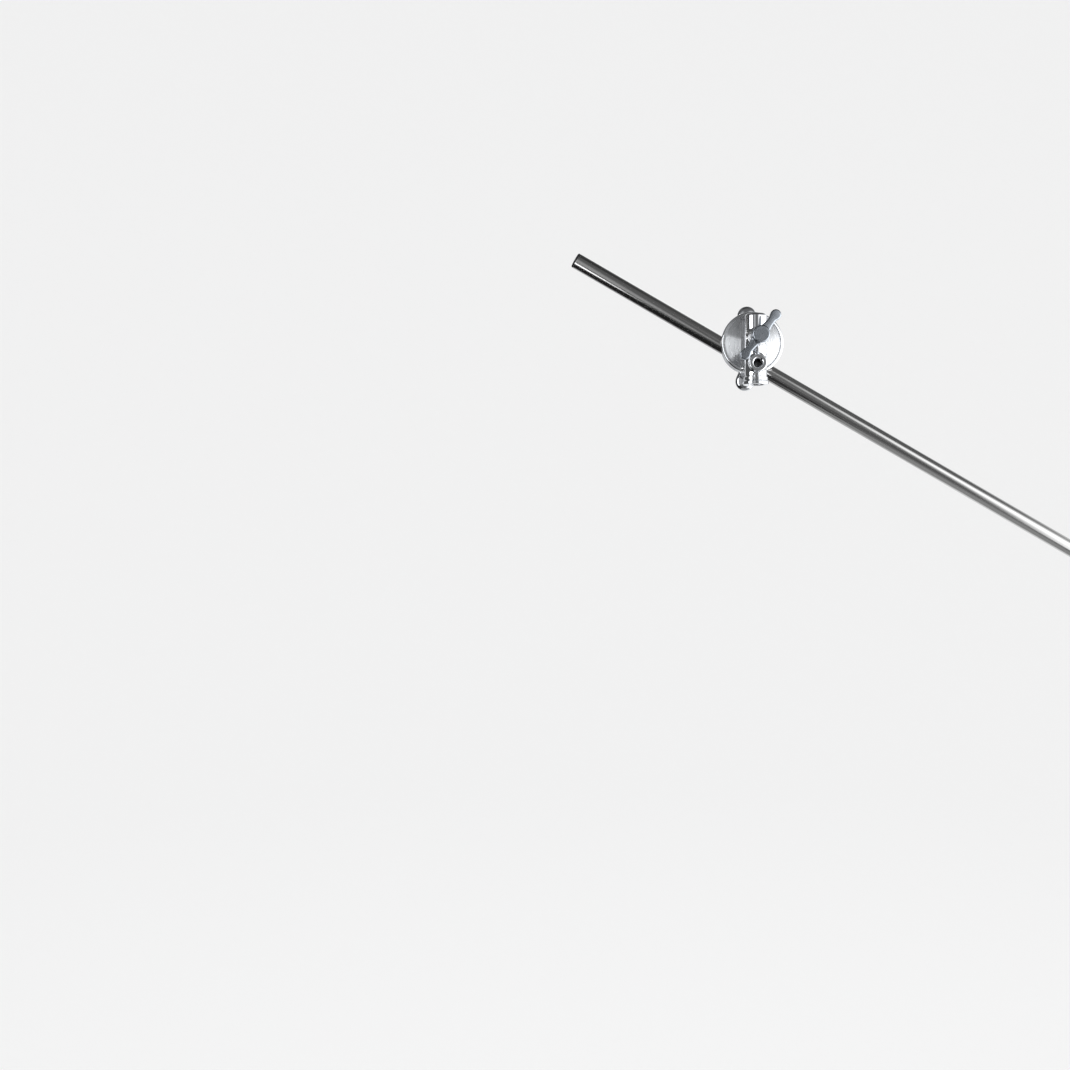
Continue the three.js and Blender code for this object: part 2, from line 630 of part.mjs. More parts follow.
function clampHandle() {
  const base = CLAMP_HUB_DIAMETER / 2;
  const waist = CLAMP_HUB_WAIST / 2;
  const end = CLAMP_HUB_END / 2;
  const hub = turned([
    [0, clampHubBase],
    [base - CLAMP_HUB_EDGE, clampHubBase],
    [base, clampHubBase + CLAMP_HUB_EDGE],
    [base, clampHubBase + CLAMP_HUB_BASE],
    [waist, clampHubBase + CLAMP_HUB_BASE + CLAMP_HUB_EDGE],
    ...quarterRound(end - CLAMP_HUB_EDGE, clampHubTop - CLAMP_HUB_EDGE, CLAMP_HUB_EDGE),
    [0, clampHubTop],
  ], SHAFT_SIDES);
  const outline = armOutline(
    CLAMP_SPAN,
    CLAMP_TIP_DIAMETER,
    CLAMP_NECK_WIDTH,
    CLAMP_HUB_WAIST,
    CLAMP_HUB_WAIST,
  );
  const arms = handleArms(outline, CLAMP_ARM_THICKNESS, CLAMP_ARM_EDGE);
  arms.rotateY(THREE.MathUtils.degToRad(CLAMP_ARM_LEAN));
  arms.translate(0, clampHubBase + CLAMP_ARM_DEPTH, 0);
  const insertHole = bar(
    INSERT_DIAMETER + 2 * SEAT_GAP,
    clampHubBase - CUT_OVERRUN,
    clampHubBase + INSERT_LENGTH + SEAT_GAP,
  );
  const studHole = bar(
    STUD_DIAMETER + 2 * SEAT_GAP,
    clampHubBase - CUT_OVERRUN,
    clampHubTop + CUT_OVERRUN,
  );
  const handle = toSolid(hub).add(toSolid(arms));
  return onPivot(toGeometry(handle.subtract(toSolid(insertHole)).subtract(toSolid(studHole))));
}

// The arm's own frame has its axis along +Y, with the clamp at zero and the front end ahead
function placeArmPiece(geometry) {
  const centre = towardArm.clone().multiplyScalar(ARM_OFFSET).add(pivot).setY(armDepth);
  return pointed(geometry, alongArm, centre);
}

function armTube() {
  const radius = ARM_DIAMETER / 2;
  const bore = radius - ARM_WALL;
  const front = ARM_FRONT_REACH - PLUG_FLANGE - SEAT_GAP;
  const rear = ARM_FRONT_REACH - ARM_LENGTH + PLUG_FLANGE + SEAT_GAP;
  const profile = [[bore, rear], [radius, rear], [radius, front], [bore, front]];
  return placeArmPiece(turnedRing(profile, SHAFT_SIDES));
}

// A plug in an open end of the arm, made about +Y with its flat face outward
function armPlug(end, direction) {
  const radius = ARM_DIAMETER / 2;
  const spigot = radius - ARM_WALL - SEAT_GAP;
  const profile = [
    [0, -PLUG_FLANGE - PLUG_SPIGOT],
    [spigot - PLUG_EDGE, -PLUG_FLANGE - PLUG_SPIGOT],
    [spigot, -PLUG_FLANGE - PLUG_SPIGOT + PLUG_EDGE],
    [spigot, -PLUG_FLANGE],
    [radius, -PLUG_FLANGE],
    [radius, -PLUG_EDGE],
    [radius - PLUG_EDGE, 0],
    [0, 0],
  ];
  const plug = turned(profile, SHAFT_SIDES);
  if (direction < 0) plug.rotateX(Math.PI);
  return placeArmPiece(plug.translate(0, end, 0));
}

const head = new THREE.Group();

function addPiece(name, shape, finish) {
  const geometry = shape instanceof THREE.BufferGeometry ? shape : toGeometry(shape);
  const mesh = new THREE.Mesh(geometry, new THREE.MeshStandardMaterial(finishes[finish]));
  mesh.name = name;
  head.add(mesh);
}

addPiece('receiver_body', receiverBody(), 'chrome');
addPiece('main_stud', mainStud(), 'zincSteel');
addPiece('stud_pin', studPin(), 'zincSteel');
addPiece('stud_end_nut', studEndNut(), 'zincSteel');

const studHole = STUD_DIAMETER + 2 * SEAT_GAP;
const frictionDisc = ring(FRICTION_DISC_DIAMETER, studHole, discFront, discBack, ROUND_SIDES);
addPiece('friction_disc', onPivot(frictionDisc), 'fibre');
addPiece('jaw_front_plate', frontJaw(), 'chrome');
addPiece('jaw_rear_plate', rearJaw(), 'chrome');
addPiece('jaw_spring', springGeometry(), 'zincSteel');
addPiece('jaw_guide_pin_front', guidePin(1), 'zincSteel');
addPiece('jaw_guide_pin_rear', guidePin(-1), 'zincSteel');

const bearing = ring(WASHER_DIAMETER, studHole, bearingFront, bearingBack);
addPiece('bearing_washer', onPivot(bearing), 'bronze');
const thrust = ring(WASHER_DIAMETER, studHole, thrustFront, thrustBack);
addPiece('thrust_washer', onPivot(thrust), 'zincSteel');
addPiece('clamp_handle', clampHandle(), 'castAlloy');
const insert = ring(INSERT_DIAMETER, studHole, clampHubBase, clampHubBase + INSERT_LENGTH);
addPiece('clamp_handle_insert', onPivot(insert), 'zincSteel');

addPiece('lock_handle', lockHandle(), 'castAlloy');
addPiece('lock_screw', lockScrew(), 'zincSteel');
addPiece('lock_pad', lockPad(), 'bronze');

addPiece('arm_tube', armTube(), 'steel');
addPiece('arm_front_plug', armPlug(ARM_FRONT_REACH, 1), 'plastic');
addPiece('arm_rear_plug', armPlug(ARM_FRONT_REACH - ARM_LENGTH, -1), 'plastic');

console.log(`least gap between the spring's turns: ${springGap().toFixed(2)} mm`);

export default head;
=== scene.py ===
# %% [markdown]
# # A grip arm and its pivoting head
# The object is a polished steel arm, held between the jaw plates of a round clamp head. The CAD frame
# has every piece in its real place, but with flat facets, and polished metal shows every facet. So this
# lesson makes a fine surface for each piece, in the same place and on the same body, and hides the
# faceted one. Sizes come from the frame's own boxes wherever a box gives them.

# %% Load the frame
import json
import math

import bpy
import numpy as np
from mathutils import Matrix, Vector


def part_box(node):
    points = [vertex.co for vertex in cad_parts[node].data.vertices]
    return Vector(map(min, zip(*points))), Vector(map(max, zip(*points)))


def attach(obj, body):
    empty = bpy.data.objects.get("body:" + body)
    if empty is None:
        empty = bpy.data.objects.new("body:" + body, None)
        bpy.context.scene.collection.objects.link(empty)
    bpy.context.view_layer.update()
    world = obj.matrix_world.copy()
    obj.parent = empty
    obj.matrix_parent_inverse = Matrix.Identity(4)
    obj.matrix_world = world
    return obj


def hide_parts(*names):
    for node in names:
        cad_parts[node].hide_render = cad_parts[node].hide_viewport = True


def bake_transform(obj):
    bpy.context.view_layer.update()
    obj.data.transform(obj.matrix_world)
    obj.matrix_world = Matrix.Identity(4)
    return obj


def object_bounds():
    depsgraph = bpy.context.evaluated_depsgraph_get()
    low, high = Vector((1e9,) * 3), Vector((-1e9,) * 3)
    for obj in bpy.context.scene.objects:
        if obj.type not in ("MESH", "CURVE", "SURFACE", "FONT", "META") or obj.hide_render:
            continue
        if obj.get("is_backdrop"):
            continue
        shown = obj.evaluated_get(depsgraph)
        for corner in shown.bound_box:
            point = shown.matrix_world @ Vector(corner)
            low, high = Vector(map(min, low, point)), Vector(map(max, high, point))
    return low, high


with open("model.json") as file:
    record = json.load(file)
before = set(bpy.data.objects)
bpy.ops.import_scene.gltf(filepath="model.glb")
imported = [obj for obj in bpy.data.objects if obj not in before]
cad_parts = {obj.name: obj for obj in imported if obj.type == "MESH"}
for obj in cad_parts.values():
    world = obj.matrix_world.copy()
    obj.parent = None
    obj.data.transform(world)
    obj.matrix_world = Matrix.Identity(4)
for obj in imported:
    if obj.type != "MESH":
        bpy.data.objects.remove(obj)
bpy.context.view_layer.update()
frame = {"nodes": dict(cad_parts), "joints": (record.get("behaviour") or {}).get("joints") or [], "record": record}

import openvdb
from mathutils import Matrix, Vector

MM = 0.001

# %% [markdown]
# ## Places taken from the frame
# A joint says where a pivot is and which way it points, and a node's box says where its faces are. Reading
# them keeps the fine pieces true to the frame, even if the frame is packed again with another size.

# %% Places and directions
joints = {joint["name"]: joint for joint in frame["joints"]}
PIVOT_HEIGHT = joints["arm_tilt"]["pos_m"][2] / MM
along_arm = np.array(joints["arm_slide"]["axis"])
toward_arm = np.array([-along_arm[2], 0.0, along_arm[0]])


def box_mm(node):
    """The lowest and highest corner of a CAD node, in millimetres."""
    low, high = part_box(node)
    return np.array(low) / MM, np.array(high) / MM


def span_y(node):
    """Where a piece on the pivot starts and ends behind the barrel's axis, in millimetres."""
    low, high = box_mm(node)
    return float(low[1]), float(high[1])


print("pivot height", PIVOT_HEIGHT, "arm direction", along_arm.round(3))

# %% [markdown]
# ## A turned piece
# Washers, pins, plugs and the arm itself are made on a lathe: a profile is turned about an axis. Blender's
# Screw modifier or a spin would do it, but here the rings are written straight into a mesh, because then
# every corner of the profile can first be given a small round, and those rounds are what catch the light.

# %% Rounded profiles
EDGE_ROUND = 0.3
CORNER_STEPS = 4
NEARLY_STRAIGHT = 0.05


def round_corner(before, corner, after, radius):
    """Points of a small arc that replaces a corner between two straight stretches."""
    back, ahead = before - corner, after - corner
    back_length, ahead_length = np.linalg.norm(back), np.linalg.norm(ahead)
    back, ahead = back / back_length, ahead / ahead_length
    half_angle = math.acos(float(np.clip(back @ ahead, -1, 1))) / 2
    if half_angle > math.pi / 2 - NEARLY_STRAIGHT:
        return [corner]
    reach = min(radius / math.tan(half_angle), back_length / 2, ahead_length / 2)
    centre = corner + (back + ahead) / np.linalg.norm(back + ahead) * reach / math.cos(half_angle)
    start, end = corner + back * reach - centre, corner + ahead * reach - centre
    turn = math.pi - 2 * half_angle
    points = []
    for step in range(CORNER_STEPS + 1):
        share = step / CORNER_STEPS
        blend = math.sin((1 - share) * turn) * start + math.sin(share * turn) * end
        points.append(centre + blend / math.sin(turn))
    return points


def rounded(profile, radius=EDGE_ROUND, closed=False):
    """A [radius, distance] profile with its corners rounded."""
    corners = [np.array(point, float) for point in profile]
    count = len(corners)
    points = [] if closed else [corners[0]]
    for index in range(count) if closed else range(1, count - 1):
        points += round_corner(corners[index - 1], corners[index], corners[(index + 1) % count], radius)
    return points if closed else points + [corners[-1]]


# %% Turning a profile
def mesh_object(name, points, faces, place=None):
    """A smooth mesh object from points in millimetres."""
    mesh = bpy.data.meshes.new(name)
    mesh.from_pydata([tuple(p) for p in np.asarray(points, float) * MM], [], faces)
    mesh.validate()
    mesh.shade_smooth()
    made = bpy.data.objects.new(name, mesh)
    bpy.context.scene.collection.objects.link(made)
    if place is not None:
        made.matrix_world = place
    print(f"{name}: {len(faces)} faces")
    return made


def axis_place(origin, direction):
    """The matrix that stands a piece, made along its own Z, at a point in millimetres."""
    turn = Vector((0, 0, 1)).rotation_difference(Vector(direction)).to_matrix().to_4x4()
    return Matrix.Translation(Vector(origin) * MM) @ turn


def turned(name, profile, place=None, sides=128, closed=False):
    """Turns a profile about the piece's own Z axis. A closed profile makes a ring."""
    points, rings = [], []
    for radius, distance in profile:
        if radius < 1e-6:
            rings.append([len(points)] * sides)
            points.append((0, 0, distance))
            continue
        rings.append(list(range(len(points), len(points) + sides)))
        for side in range(sides):
            angle = 2 * math.pi * side / sides
            points.append((radius * math.cos(angle), radius * math.sin(angle), distance))
    faces = []
    for index in range(len(rings) if closed else len(rings) - 1):
        lower, upper = rings[index], rings[(index + 1) % len(rings)]
        for side in range(sides):
            after = (side + 1) % sides
            face = [lower[side], lower[after], upper[after], upper[side]]
            faces.append(list(dict.fromkeys(face)))
    return mesh_object(name, points, faces, place)


PIVOT = (0, 0, PIVOT_HEIGHT)
ON_PIVOT = axis_place(PIVOT, (0, 1, 0))

# %% [markdown]
# ## A cast piece
# The receiver and both T-handles are castings: their parts flow into each other through fillets. Boolean
# unions with bevels would leave seams that a mirror finish shows. Here each casting is described by a
# distance field, a formula that says how far any point is from the metal. Fields can be joined softly,
# which is a fillet, and cut softly, which is a broken edge. The surface where the field is zero is then
# meshed, each point is pulled exactly on to it, and the field's slope gives a perfectly smooth normal.

# %% Joining and cutting fields
PAST_FACE = 9


def join(first, second, fillet):
    """The metal of both fields, with a fillet where they meet."""
    share = np.clip(0.5 + 0.5 * (second - first) / fillet, 0, 1)
    return second + (first - second) * share - fillet * share * (1 - share)


def meet(first, second, edge):
    """Only the metal that both fields share, with a broken edge."""
    return -join(-first, -second, edge)


def cut(body, tool, edge=0.5):
    """The body without the tool. A tool goes on past the face that it opens, by PAST_FACE."""
    return meet(body, -tool, edge)


def round_edge(outward, onward, edge):
    """A rounded edge between two faces, each given as one that lies edge inside the real one."""
    outside = np.hypot(np.maximum(outward, 0), np.maximum(onward, 0))
    return outside + np.minimum(np.maximum(outward, onward), 0) - edge


def round_bar(across, along, radius, start, end, edge):
    """A bar with rounded ends. across is the distance from its axis and along the place on it."""
    onward = np.abs(along - (start + end) / 2) - ((end - start) / 2 - edge)
    return round_edge(across - (radius - edge), onward, edge)


# %% Meshing a field
SLOPE_STEP = 0.02
PULLS = 4
LEAST_STEEP = 0.2


def slope(field, points):
    """The field's value and gradient at each point."""
    steps = np.eye(3) * SLOPE_STEP
    rise = [field(*(points + s).T) - field(*(points - s).T) for s in steps]
    return field(*points.T), np.stack(rise, axis=1) / (2 * SLOPE_STEP)


def cast(name, field, low, high, voxel):
    """A closed mesh of the surface where the field is zero, between two corners in millimetres."""
    margin = 3 * voxel
    axes = [np.arange(a - margin, b + margin, voxel) for a, b in zip(low, high)]
    grid = openvdb.FloatGrid()
    grid.background = margin
    cells = np.meshgrid(*axes, indexing="ij", sparse=True)
    values = np.broadcast_to(field(*cells), [len(a) for a in axes])
    grid.copyFromArray(np.clip(values, -margin, margin).astype(np.float32))
    points, quads = grid.convertToQuads(isovalue=0.0)
    points = points.astype(float) * voxel + [a[0] for a in axes]
    for _ in range(PULLS):
        value, gradient = slope(field, points)
        steep = np.maximum((gradient ** 2).sum(1), LEAST_STEEP)
        pull = np.clip(value / steep, -voxel / 2, voxel / 2)
        points -= pull[:, None] * gradient
    _, gradient = slope(field, points)
    normals = gradient / np.maximum(np.linalg.norm(gradient, axis=1), 1e-9)[:, None]
    corner = points[quads]
    facing = np.cross(corner[:, 2] - corner[:, 0], corner[:, 3] - corner[:, 1])
    if (facing * normals[quads[:, 0]]).sum() < 0:
        quads = quads[:, ::-1]
    made = mesh_object(name, points, quads.tolist())
    made.data.normals_split_custom_set_from_vertices(normals.tolist())
    return made


# %% [markdown]
# ## Finishes
# Polished metal has almost no colour of its own: it is what it reflects. What tells one metal part from
# another is how sharp the reflection is and which way it is smeared. So each finish below is a metal with
# its own roughness, and fine bumps at the scale of its last tool: a buffing wheel, a lathe or a drawing die.

# %% Node helpers
class Finish:
    """A new material with a metal or plastic shader and short calls to add nodes to it."""

    def __init__(self, name, color, metallic, roughness):
        self.material = bpy.data.materials.new(name)
        self.material.use_nodes = True
        self.nodes = self.material.node_tree.nodes
        self.links = self.material.node_tree.links
        self.shader = self.nodes["Principled BSDF"]
        self.shader.inputs["Base Color"].default_value = (*color, 1)
        self.shader.inputs["Metallic"].default_value = metallic
        self.shader.inputs["Roughness"].default_value = roughness
        self.place = self.nodes.new("ShaderNodeTexCoord").outputs["Object"]
        print("finish:", name)

    def add(self, kind, values=(), **settings):
        node = self.nodes.new(kind)
        for setting, value in settings.items():
            setattr(node, setting, value)
        for socket, value in dict(values).items():
            self.feed(value, node.inputs[socket])
        return node

    def feed(self, value, socket):
        if isinstance(value, bpy.types.NodeSocket):
            self.links.new(value, socket)
        else:
            socket.default_value = value

    def noise(self, scale, detail=3.0, stretch=(1, 1, 1)):
        """Noise whose grain is about 1 / scale metres, drawn out where stretch is small."""
        mapped = self.add("ShaderNodeMapping", {"Vector": self.place, "Scale": stretch})
        made = self.add("ShaderNodeTexNoise", {"Vector": mapped.outputs[0], "Scale": scale, "Detail": detail})
        return made.outputs["Fac"]

    def spread(self, value, low, high, start=0.3, end=0.7):
        """Takes a value between start and end to one between low and high."""
        names = ("Value", "From Min", "From Max", "To Min", "To Max")
        made = self.add("ShaderNodeMapRange", dict(zip(names, (value, start, end, low, high))))
        return made.outputs[0]

    def tint(self, value, low, high):
        """Mixes two colours by a value from 0 to 1."""
        made = self.add("ShaderNodeMix", data_type="RGBA")
        self.feed(value, made.inputs["Factor"])
        made.inputs["A"].default_value = (*low, 1)
        made.inputs["B"].default_value = (*high, 1)
        self.links.new(made.outputs["Result"], self.shader.inputs["Base Color"])

    def rough(self, value, low, high):
        self.links.new(self.spread(value, low, high), self.shader.inputs["Roughness"])

    def bump(self, height, depth_mm, strength=1.0, under=None):
        """Raises the surface by up to depth_mm where the height is 1."""
        made = self.add("ShaderNodeBump", {"Height": height, "Distance": depth_mm * MM, "Strength": strength})
        if under is not None:
            self.links.new(under, made.inputs["Normal"])
        self.links.new(made.outputs[0], self.shader.inputs["Normal"])
        return made.outputs[0]

    def vector(self, operation, *values, output="Vector"):
        """One step of arithmetic with vectors."""
        made = self.add("ShaderNodeVectorMath", dict(enumerate(values)), operation=operation)
        return made.outputs[output]

    def smear(self, amount, centre_mm, axis, around=False):
        """Smears the reflection across the marks of a lathe: outward from an axis, or around it."""
        self.shader.inputs["Anisotropic"].default_value = amount
        outward = self.vector("SUBTRACT", self.place, Vector(centre_mm) * MM)
        tangent = self.vector("CROSS_PRODUCT", axis, outward)
        if not around:
            tangent = self.vector("CROSS_PRODUCT", tangent, axis)
        world = self.add("ShaderNodeVectorTransform", {"Vector": tangent})
        world.vector_type, world.convert_from, world.convert_to = "VECTOR", "OBJECT", "WORLD"
        self.links.new(world.outputs[0], self.shader.inputs["Tangent"])

    def show(self, shader):
        """Makes a shader the material's surface. Its glow is seen, but isn't sampled as a lamp."""
        self.links.new(shader.outputs[0], self.nodes["Material Output"].inputs["Surface"])
        self.material.cycles.emission_sampling = "NONE"
        return self.material


# %% [markdown]
# ### Polished casting
# The receiver is cast, ground and buffed until it mirrors the room. Buffing never leaves it flat: a slow
# wave, a few hundredths of a millimetre deep, bends the reflections, and a fine haze of buffing marks
# softens them a little. Two noises of very different scale make the two effects.

# %% Polished casting
MARK_DEPTH = 0.0012


def polished(name, color, roughness, wave_mm=0.02, wave_scale=90):
    finish = Finish(name, color, 1.0, roughness)
    finish.rough(finish.noise(900, 4), roughness * 0.7, roughness * 1.5)
    buffed = finish.bump(finish.noise(2600, 2), MARK_DEPTH)
    finish.bump(finish.noise(wave_scale, 1.5), wave_mm, under=buffed)
    return finish


CHROME = (0.83, 0.835, 0.85)
polished_casting = polished("polished_casting", CHROME, 0.07)

# %% [markdown]
# The neck's flanks can't be reached by the buffing wheel. They are ground by hand with a belt, up and
# down, so they are duller and streaked along the neck's height.

# %% Ground neck
ground_neck = Finish("ground_neck", (0.4, 0.405, 0.415), 1.0, 0.8)
belt_marks = ground_neck.noise(700, 3, stretch=(1, 1, 0.03))
ground_neck.rough(belt_marks, 0.7, 0.9)
coarse_marks = ground_neck.bump(ground_neck.noise(260, 2, stretch=(1, 1, 0.04)), 0.12)
ground_neck.bump(belt_marks, 0.025, under=coarse_marks)

# %% [markdown]
# ### Turned faces
# The dish's face and the jaw plates are finished on a lathe. The tool leaves rings too fine to see one by
# one, and together they pull every highlight out into a fan that points to the centre. That is what a
# shader's anisotropy does, as long as its tangent is told where the lathe's axis was. The dish's rim is
# buffed as well, so beyond that radius its face turns mirror-like.

# %% Turned faces
FACE_RADIUS = 28.4
RIM_POLISH = 0.08
RIM_FADE = 0.2


def turned_face(name, color, roughness, smear, centre_mm, axis, rim=None):
    finish = Finish(name, color, 1.0, roughness)
    finish.smear(smear, centre_mm, axis)
    outward = finish.vector("SUBTRACT", finish.place, Vector(centre_mm) * MM)
    across = finish.vector("CROSS_PRODUCT", outward, axis)
    radius = finish.vector("LENGTH", across, output="Value")
    grain = {"W": radius, "Scale": 1400.0, "Detail": 3.0}
    rings = finish.add("ShaderNodeTexNoise", grain, noise_dimensions="1D").outputs["Fac"]
    marks = finish.spread(rings, roughness * 0.75, roughness * 1.35)
    if rim is not None:
        marks = finish.spread(radius, marks, RIM_POLISH, (rim - RIM_FADE) * MM, rim * MM)
    finish.feed(marks, finish.shader.inputs["Roughness"])
    finish.bump(rings, MARK_DEPTH)
    return finish


dish_face = turned_face("dish_face", (0.92, 0.925, 0.94), 0.36, 1.0, PIVOT, (0, 1, 0), rim=FACE_RADIUS)

# %% [markdown]
# ### Satin casting
# The small handle is only tumbled: its skin is matt and blue-grey, with pits that the tumbling has not
# reached, and it is brighter where hands have rubbed it. Noise drives its colour, its roughness and two
# bumps, one for the cast skin's slow unevenness and one for its fine grain.

# %% Satin casting
def satin(name, dark, light, roughness):
    finish = Finish(name, light, 1.0, roughness)
    cloud = finish.noise(260, 4)
    finish.tint(finish.spread(cloud, 0, 1), dark, light)
    finish.rough(finish.noise(1500, 5), roughness * 0.85, roughness * 1.2)
    skin = finish.bump(finish.noise(700, 3), 0.03)
    finish.bump(finish.noise(3800, 2), 0.006, under=skin)
    return finish


handle_casting = satin("handle_casting", (0.36, 0.385, 0.42), (0.43, 0.455, 0.49), 0.27)
clamp_handle_casting = polished("clamp_handle_casting", (0.76, 0.765, 0.78), 0.1, 0.04, 140)

# %% [markdown]
# ### Drawn steel
# The arm is a steel tube that was pulled through a die and polished lengthwise. Its marks run along it, so
# the noise is drawn out fifty times along the tube, and the shader smears reflections around it.

# %% Drawn steel
def drawn(name, color, roughness, smear):
    finish = Finish(name, color, 1.0, roughness)
    finish.smear(smear, (0, 0, 0), (0, 0, 1), around=True)
    lines = finish.noise(2200, 3, stretch=(1, 1, 0.02))
    finish.rough(lines, roughness * 0.75, roughness * 1.4)
    marks = finish.bump(lines, 0.003)
    finish.bump(finish.noise(60, 1, stretch=(1, 1, 0.3)), 0.02, under=marks)
    return finish


arm_steel = drawn("arm_steel", (0.6, 0.588, 0.576), 0.14, 0.5)

# %% [markdown]
# ### Plated and plain parts
# Screws, pins and the nut are zinc plated: bright, with a faint blue cast. The pads and one washer are
# bronze, the friction disc is pressed fibre and the arm's plugs are moulded plastic.

# %% Plated steel, bronze, fibre and plastic
def plated(name, color, roughness):
    finish = Finish(name, color, 1.0, roughness)
    finish.tint(finish.spread(finish.noise(500, 3), 0, 1), tuple(c * 0.86 for c in color), color)
    finish.rough(finish.noise(1800, 4), roughness * 0.8, roughness * 1.3)
    finish.bump(finish.noise(3000, 2), 0.003)
    return finish


plated_steel = plated("plated_steel", (0.66, 0.675, 0.7), 0.24)
bronze = plated("bronze", (0.6, 0.42, 0.2), 0.32)

friction_fibre = Finish("friction_fibre", (0.05, 0.042, 0.036), 0.0, 0.85)
fibres = friction_fibre.noise(1600, 5, stretch=(1, 1, 0.3))
friction_fibre.tint(friction_fibre.spread(fibres, 0, 1), (0.03, 0.026, 0.022), (0.12, 0.1, 0.085))
friction_fibre.bump(fibres, 0.06)

plug_plastic = Finish("plug_plastic", (0.02, 0.02, 0.022), 0.0, 0.45)
plug_plastic.rough(plug_plastic.noise(1200, 4), 0.38, 0.58)
plug_plastic.bump(plug_plastic.noise(4000, 3), 0.02)
plug_plastic.shader.inputs["Specular IOR Level"].default_value = 0.25

# %% [markdown]
# ## Putting a piece on its body
# Three things make a fine piece part of the object: it rides on a CAD body, the CAD node that it stands for is
# hidden, and it is given its finishes as materials. One function does all three, so none is forgotten.

# %% Dressing a node
record = frame["record"]
body_of_node = {node: body for body, nodes in record["behaviour"]["bodies"].items() for node in nodes}


def dress(piece, node, *finishes):
    for finish in finishes:
        piece.data.materials.append(finish.material)
    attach(piece, body_of_node[node])
    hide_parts(node)
    return piece


# %% [markdown]
# ## The receiver
# One casting does three jobs. The barrel drops over a stand's stud, the two bosses in front carry the lock
# screw, and the dish behind is the plate that the jaws are squeezed against. A broad neck joins dish and
# barrel. The fields below follow those names, and the fillet sizes are those of a sand casting.

# %% The barrel and its beads
receiver_low, receiver_high = box_mm("receiver_body")
BARREL_RADIUS = 11.0
BARREL_TOP = 71.3
BARREL_SHOULDER = 3.0
BEAD_RADII = (12.75, 12.05)
BEAD_HEIGHT = 3.6
BEAD_PITCH = 4.2
GROOVE_RADIUS = 10.5
SOCKET_RADIUS = 8.1
SOCKET_DEPTH = 62.0


def barrel_field(x, y, z):
    from_axis = np.hypot(x, y)
    post = round_bar(from_axis, z, BARREL_RADIUS, 0, BARREL_TOP, BARREL_SHOULDER)
    post = meet(post, len(BEAD_RADII) * BEAD_PITCH - z, 0.5)
    barrel = join(post, round_bar(from_axis, z, GROOVE_RADIUS, 0.5, 30, 0.4), 0.3)
    for bead, radius in enumerate(BEAD_RADII):
        foot = bead * BEAD_PITCH
        barrel = join(barrel, round_bar(from_axis, z, radius, foot, foot + BEAD_HEIGHT, 0.8), 0.3)
    return barrel


# %% The dish and its neck
DISH_RADIUS = float(receiver_high[0])
DISH_BACK = float(receiver_high[1])
RIM_FRONT = 17.6
RIM_SLOPE = 0.2
FACE_FRONT = 18.3
FACE_CROWN = 5.0
RIM_GROOVE = 0.3
RIM_BEVEL = 1.0
BEVEL_OUTWARD, BEVEL_FORWARD = 0.87, 0.5
NECK_HALF = 9.5
NECK_FOOT = 15.0
NECK_TOP = 68.0
NECK_EDGE = 2


def dish_field(x, y, z):
    from_pivot = np.hypot(x, z - PIVOT_HEIGHT)
    plate = round_bar(from_pivot, y, DISH_RADIUS, RIM_FRONT, DISH_BACK, 0.8)
    plate = meet(plate, RIM_FRONT + RIM_SLOPE * (from_pivot - FACE_RADIUS) - y, 0.3)
    bevel = (from_pivot - DISH_RADIUS) * BEVEL_OUTWARD + (RIM_FRONT - y) * BEVEL_FORWARD
    plate = meet(plate, RIM_BEVEL + bevel, 0.5)
    hollow = round_bar(from_pivot, y, FACE_RADIUS, RIM_FRONT - 5, FACE_FRONT, 0.3)
    plate = cut(plate, hollow, 0.5)
    ball = (FACE_RADIUS ** 2 + FACE_CROWN ** 2) / (2 * FACE_CROWN)
    crown = np.hypot(from_pivot, y - (FACE_FRONT - FACE_CROWN + ball)) - ball
    crown = meet(meet(crown, from_pivot - FACE_RADIUS, 0.5), y - DISH_BACK + 1, 0.5)
    groove = np.hypot(from_pivot - FACE_RADIUS, y - FACE_FRONT) - RIM_GROOVE
    return cut(join(plate, crown, 0.3), groove, 0.3)


def neck_field(x, y, z):
    middle = (NECK_FOOT + NECK_TOP) / 2
    across = np.maximum(np.abs(x) - (NECK_HALF - NECK_EDGE), 0)
    upward = np.maximum(np.abs(z - middle) - ((NECK_TOP - NECK_FOOT) / 2 - NECK_EDGE), 0)
    behind = np.maximum(np.abs(y - FACE_FRONT / 2) - (FACE_FRONT / 2 - NECK_EDGE), 0)
    block = np.sqrt(across ** 2 + upward ** 2 + behind ** 2) - NECK_EDGE
    return meet(block, np.hypot(x, z - PIVOT_HEIGHT) - (FACE_RADIUS - 0.8), 1.5)


# %% The bosses and the holes
BOSS_RADIUS = 8.9
BOSS_FRONT = float(receiver_low[1])
BOSS_HEIGHTS = (20.7, 46.4)
BOSS_EDGE = 1.1
CAST_FILLET = 2.6
NECK_FILLET = 4.5
SPARE_HOLE_RADIUS = 4.0
COUNTERSINK = 1.3
SOCKET_LEAD = 1.6
SCREW_HOLE_RADIUS = 5.3
STUD_HOLE_START = 9.3
PIN_HOLE_RADIUS = 1.8
PIN_HOLE_START = 39.7
PIN_DEPTH = 15.4


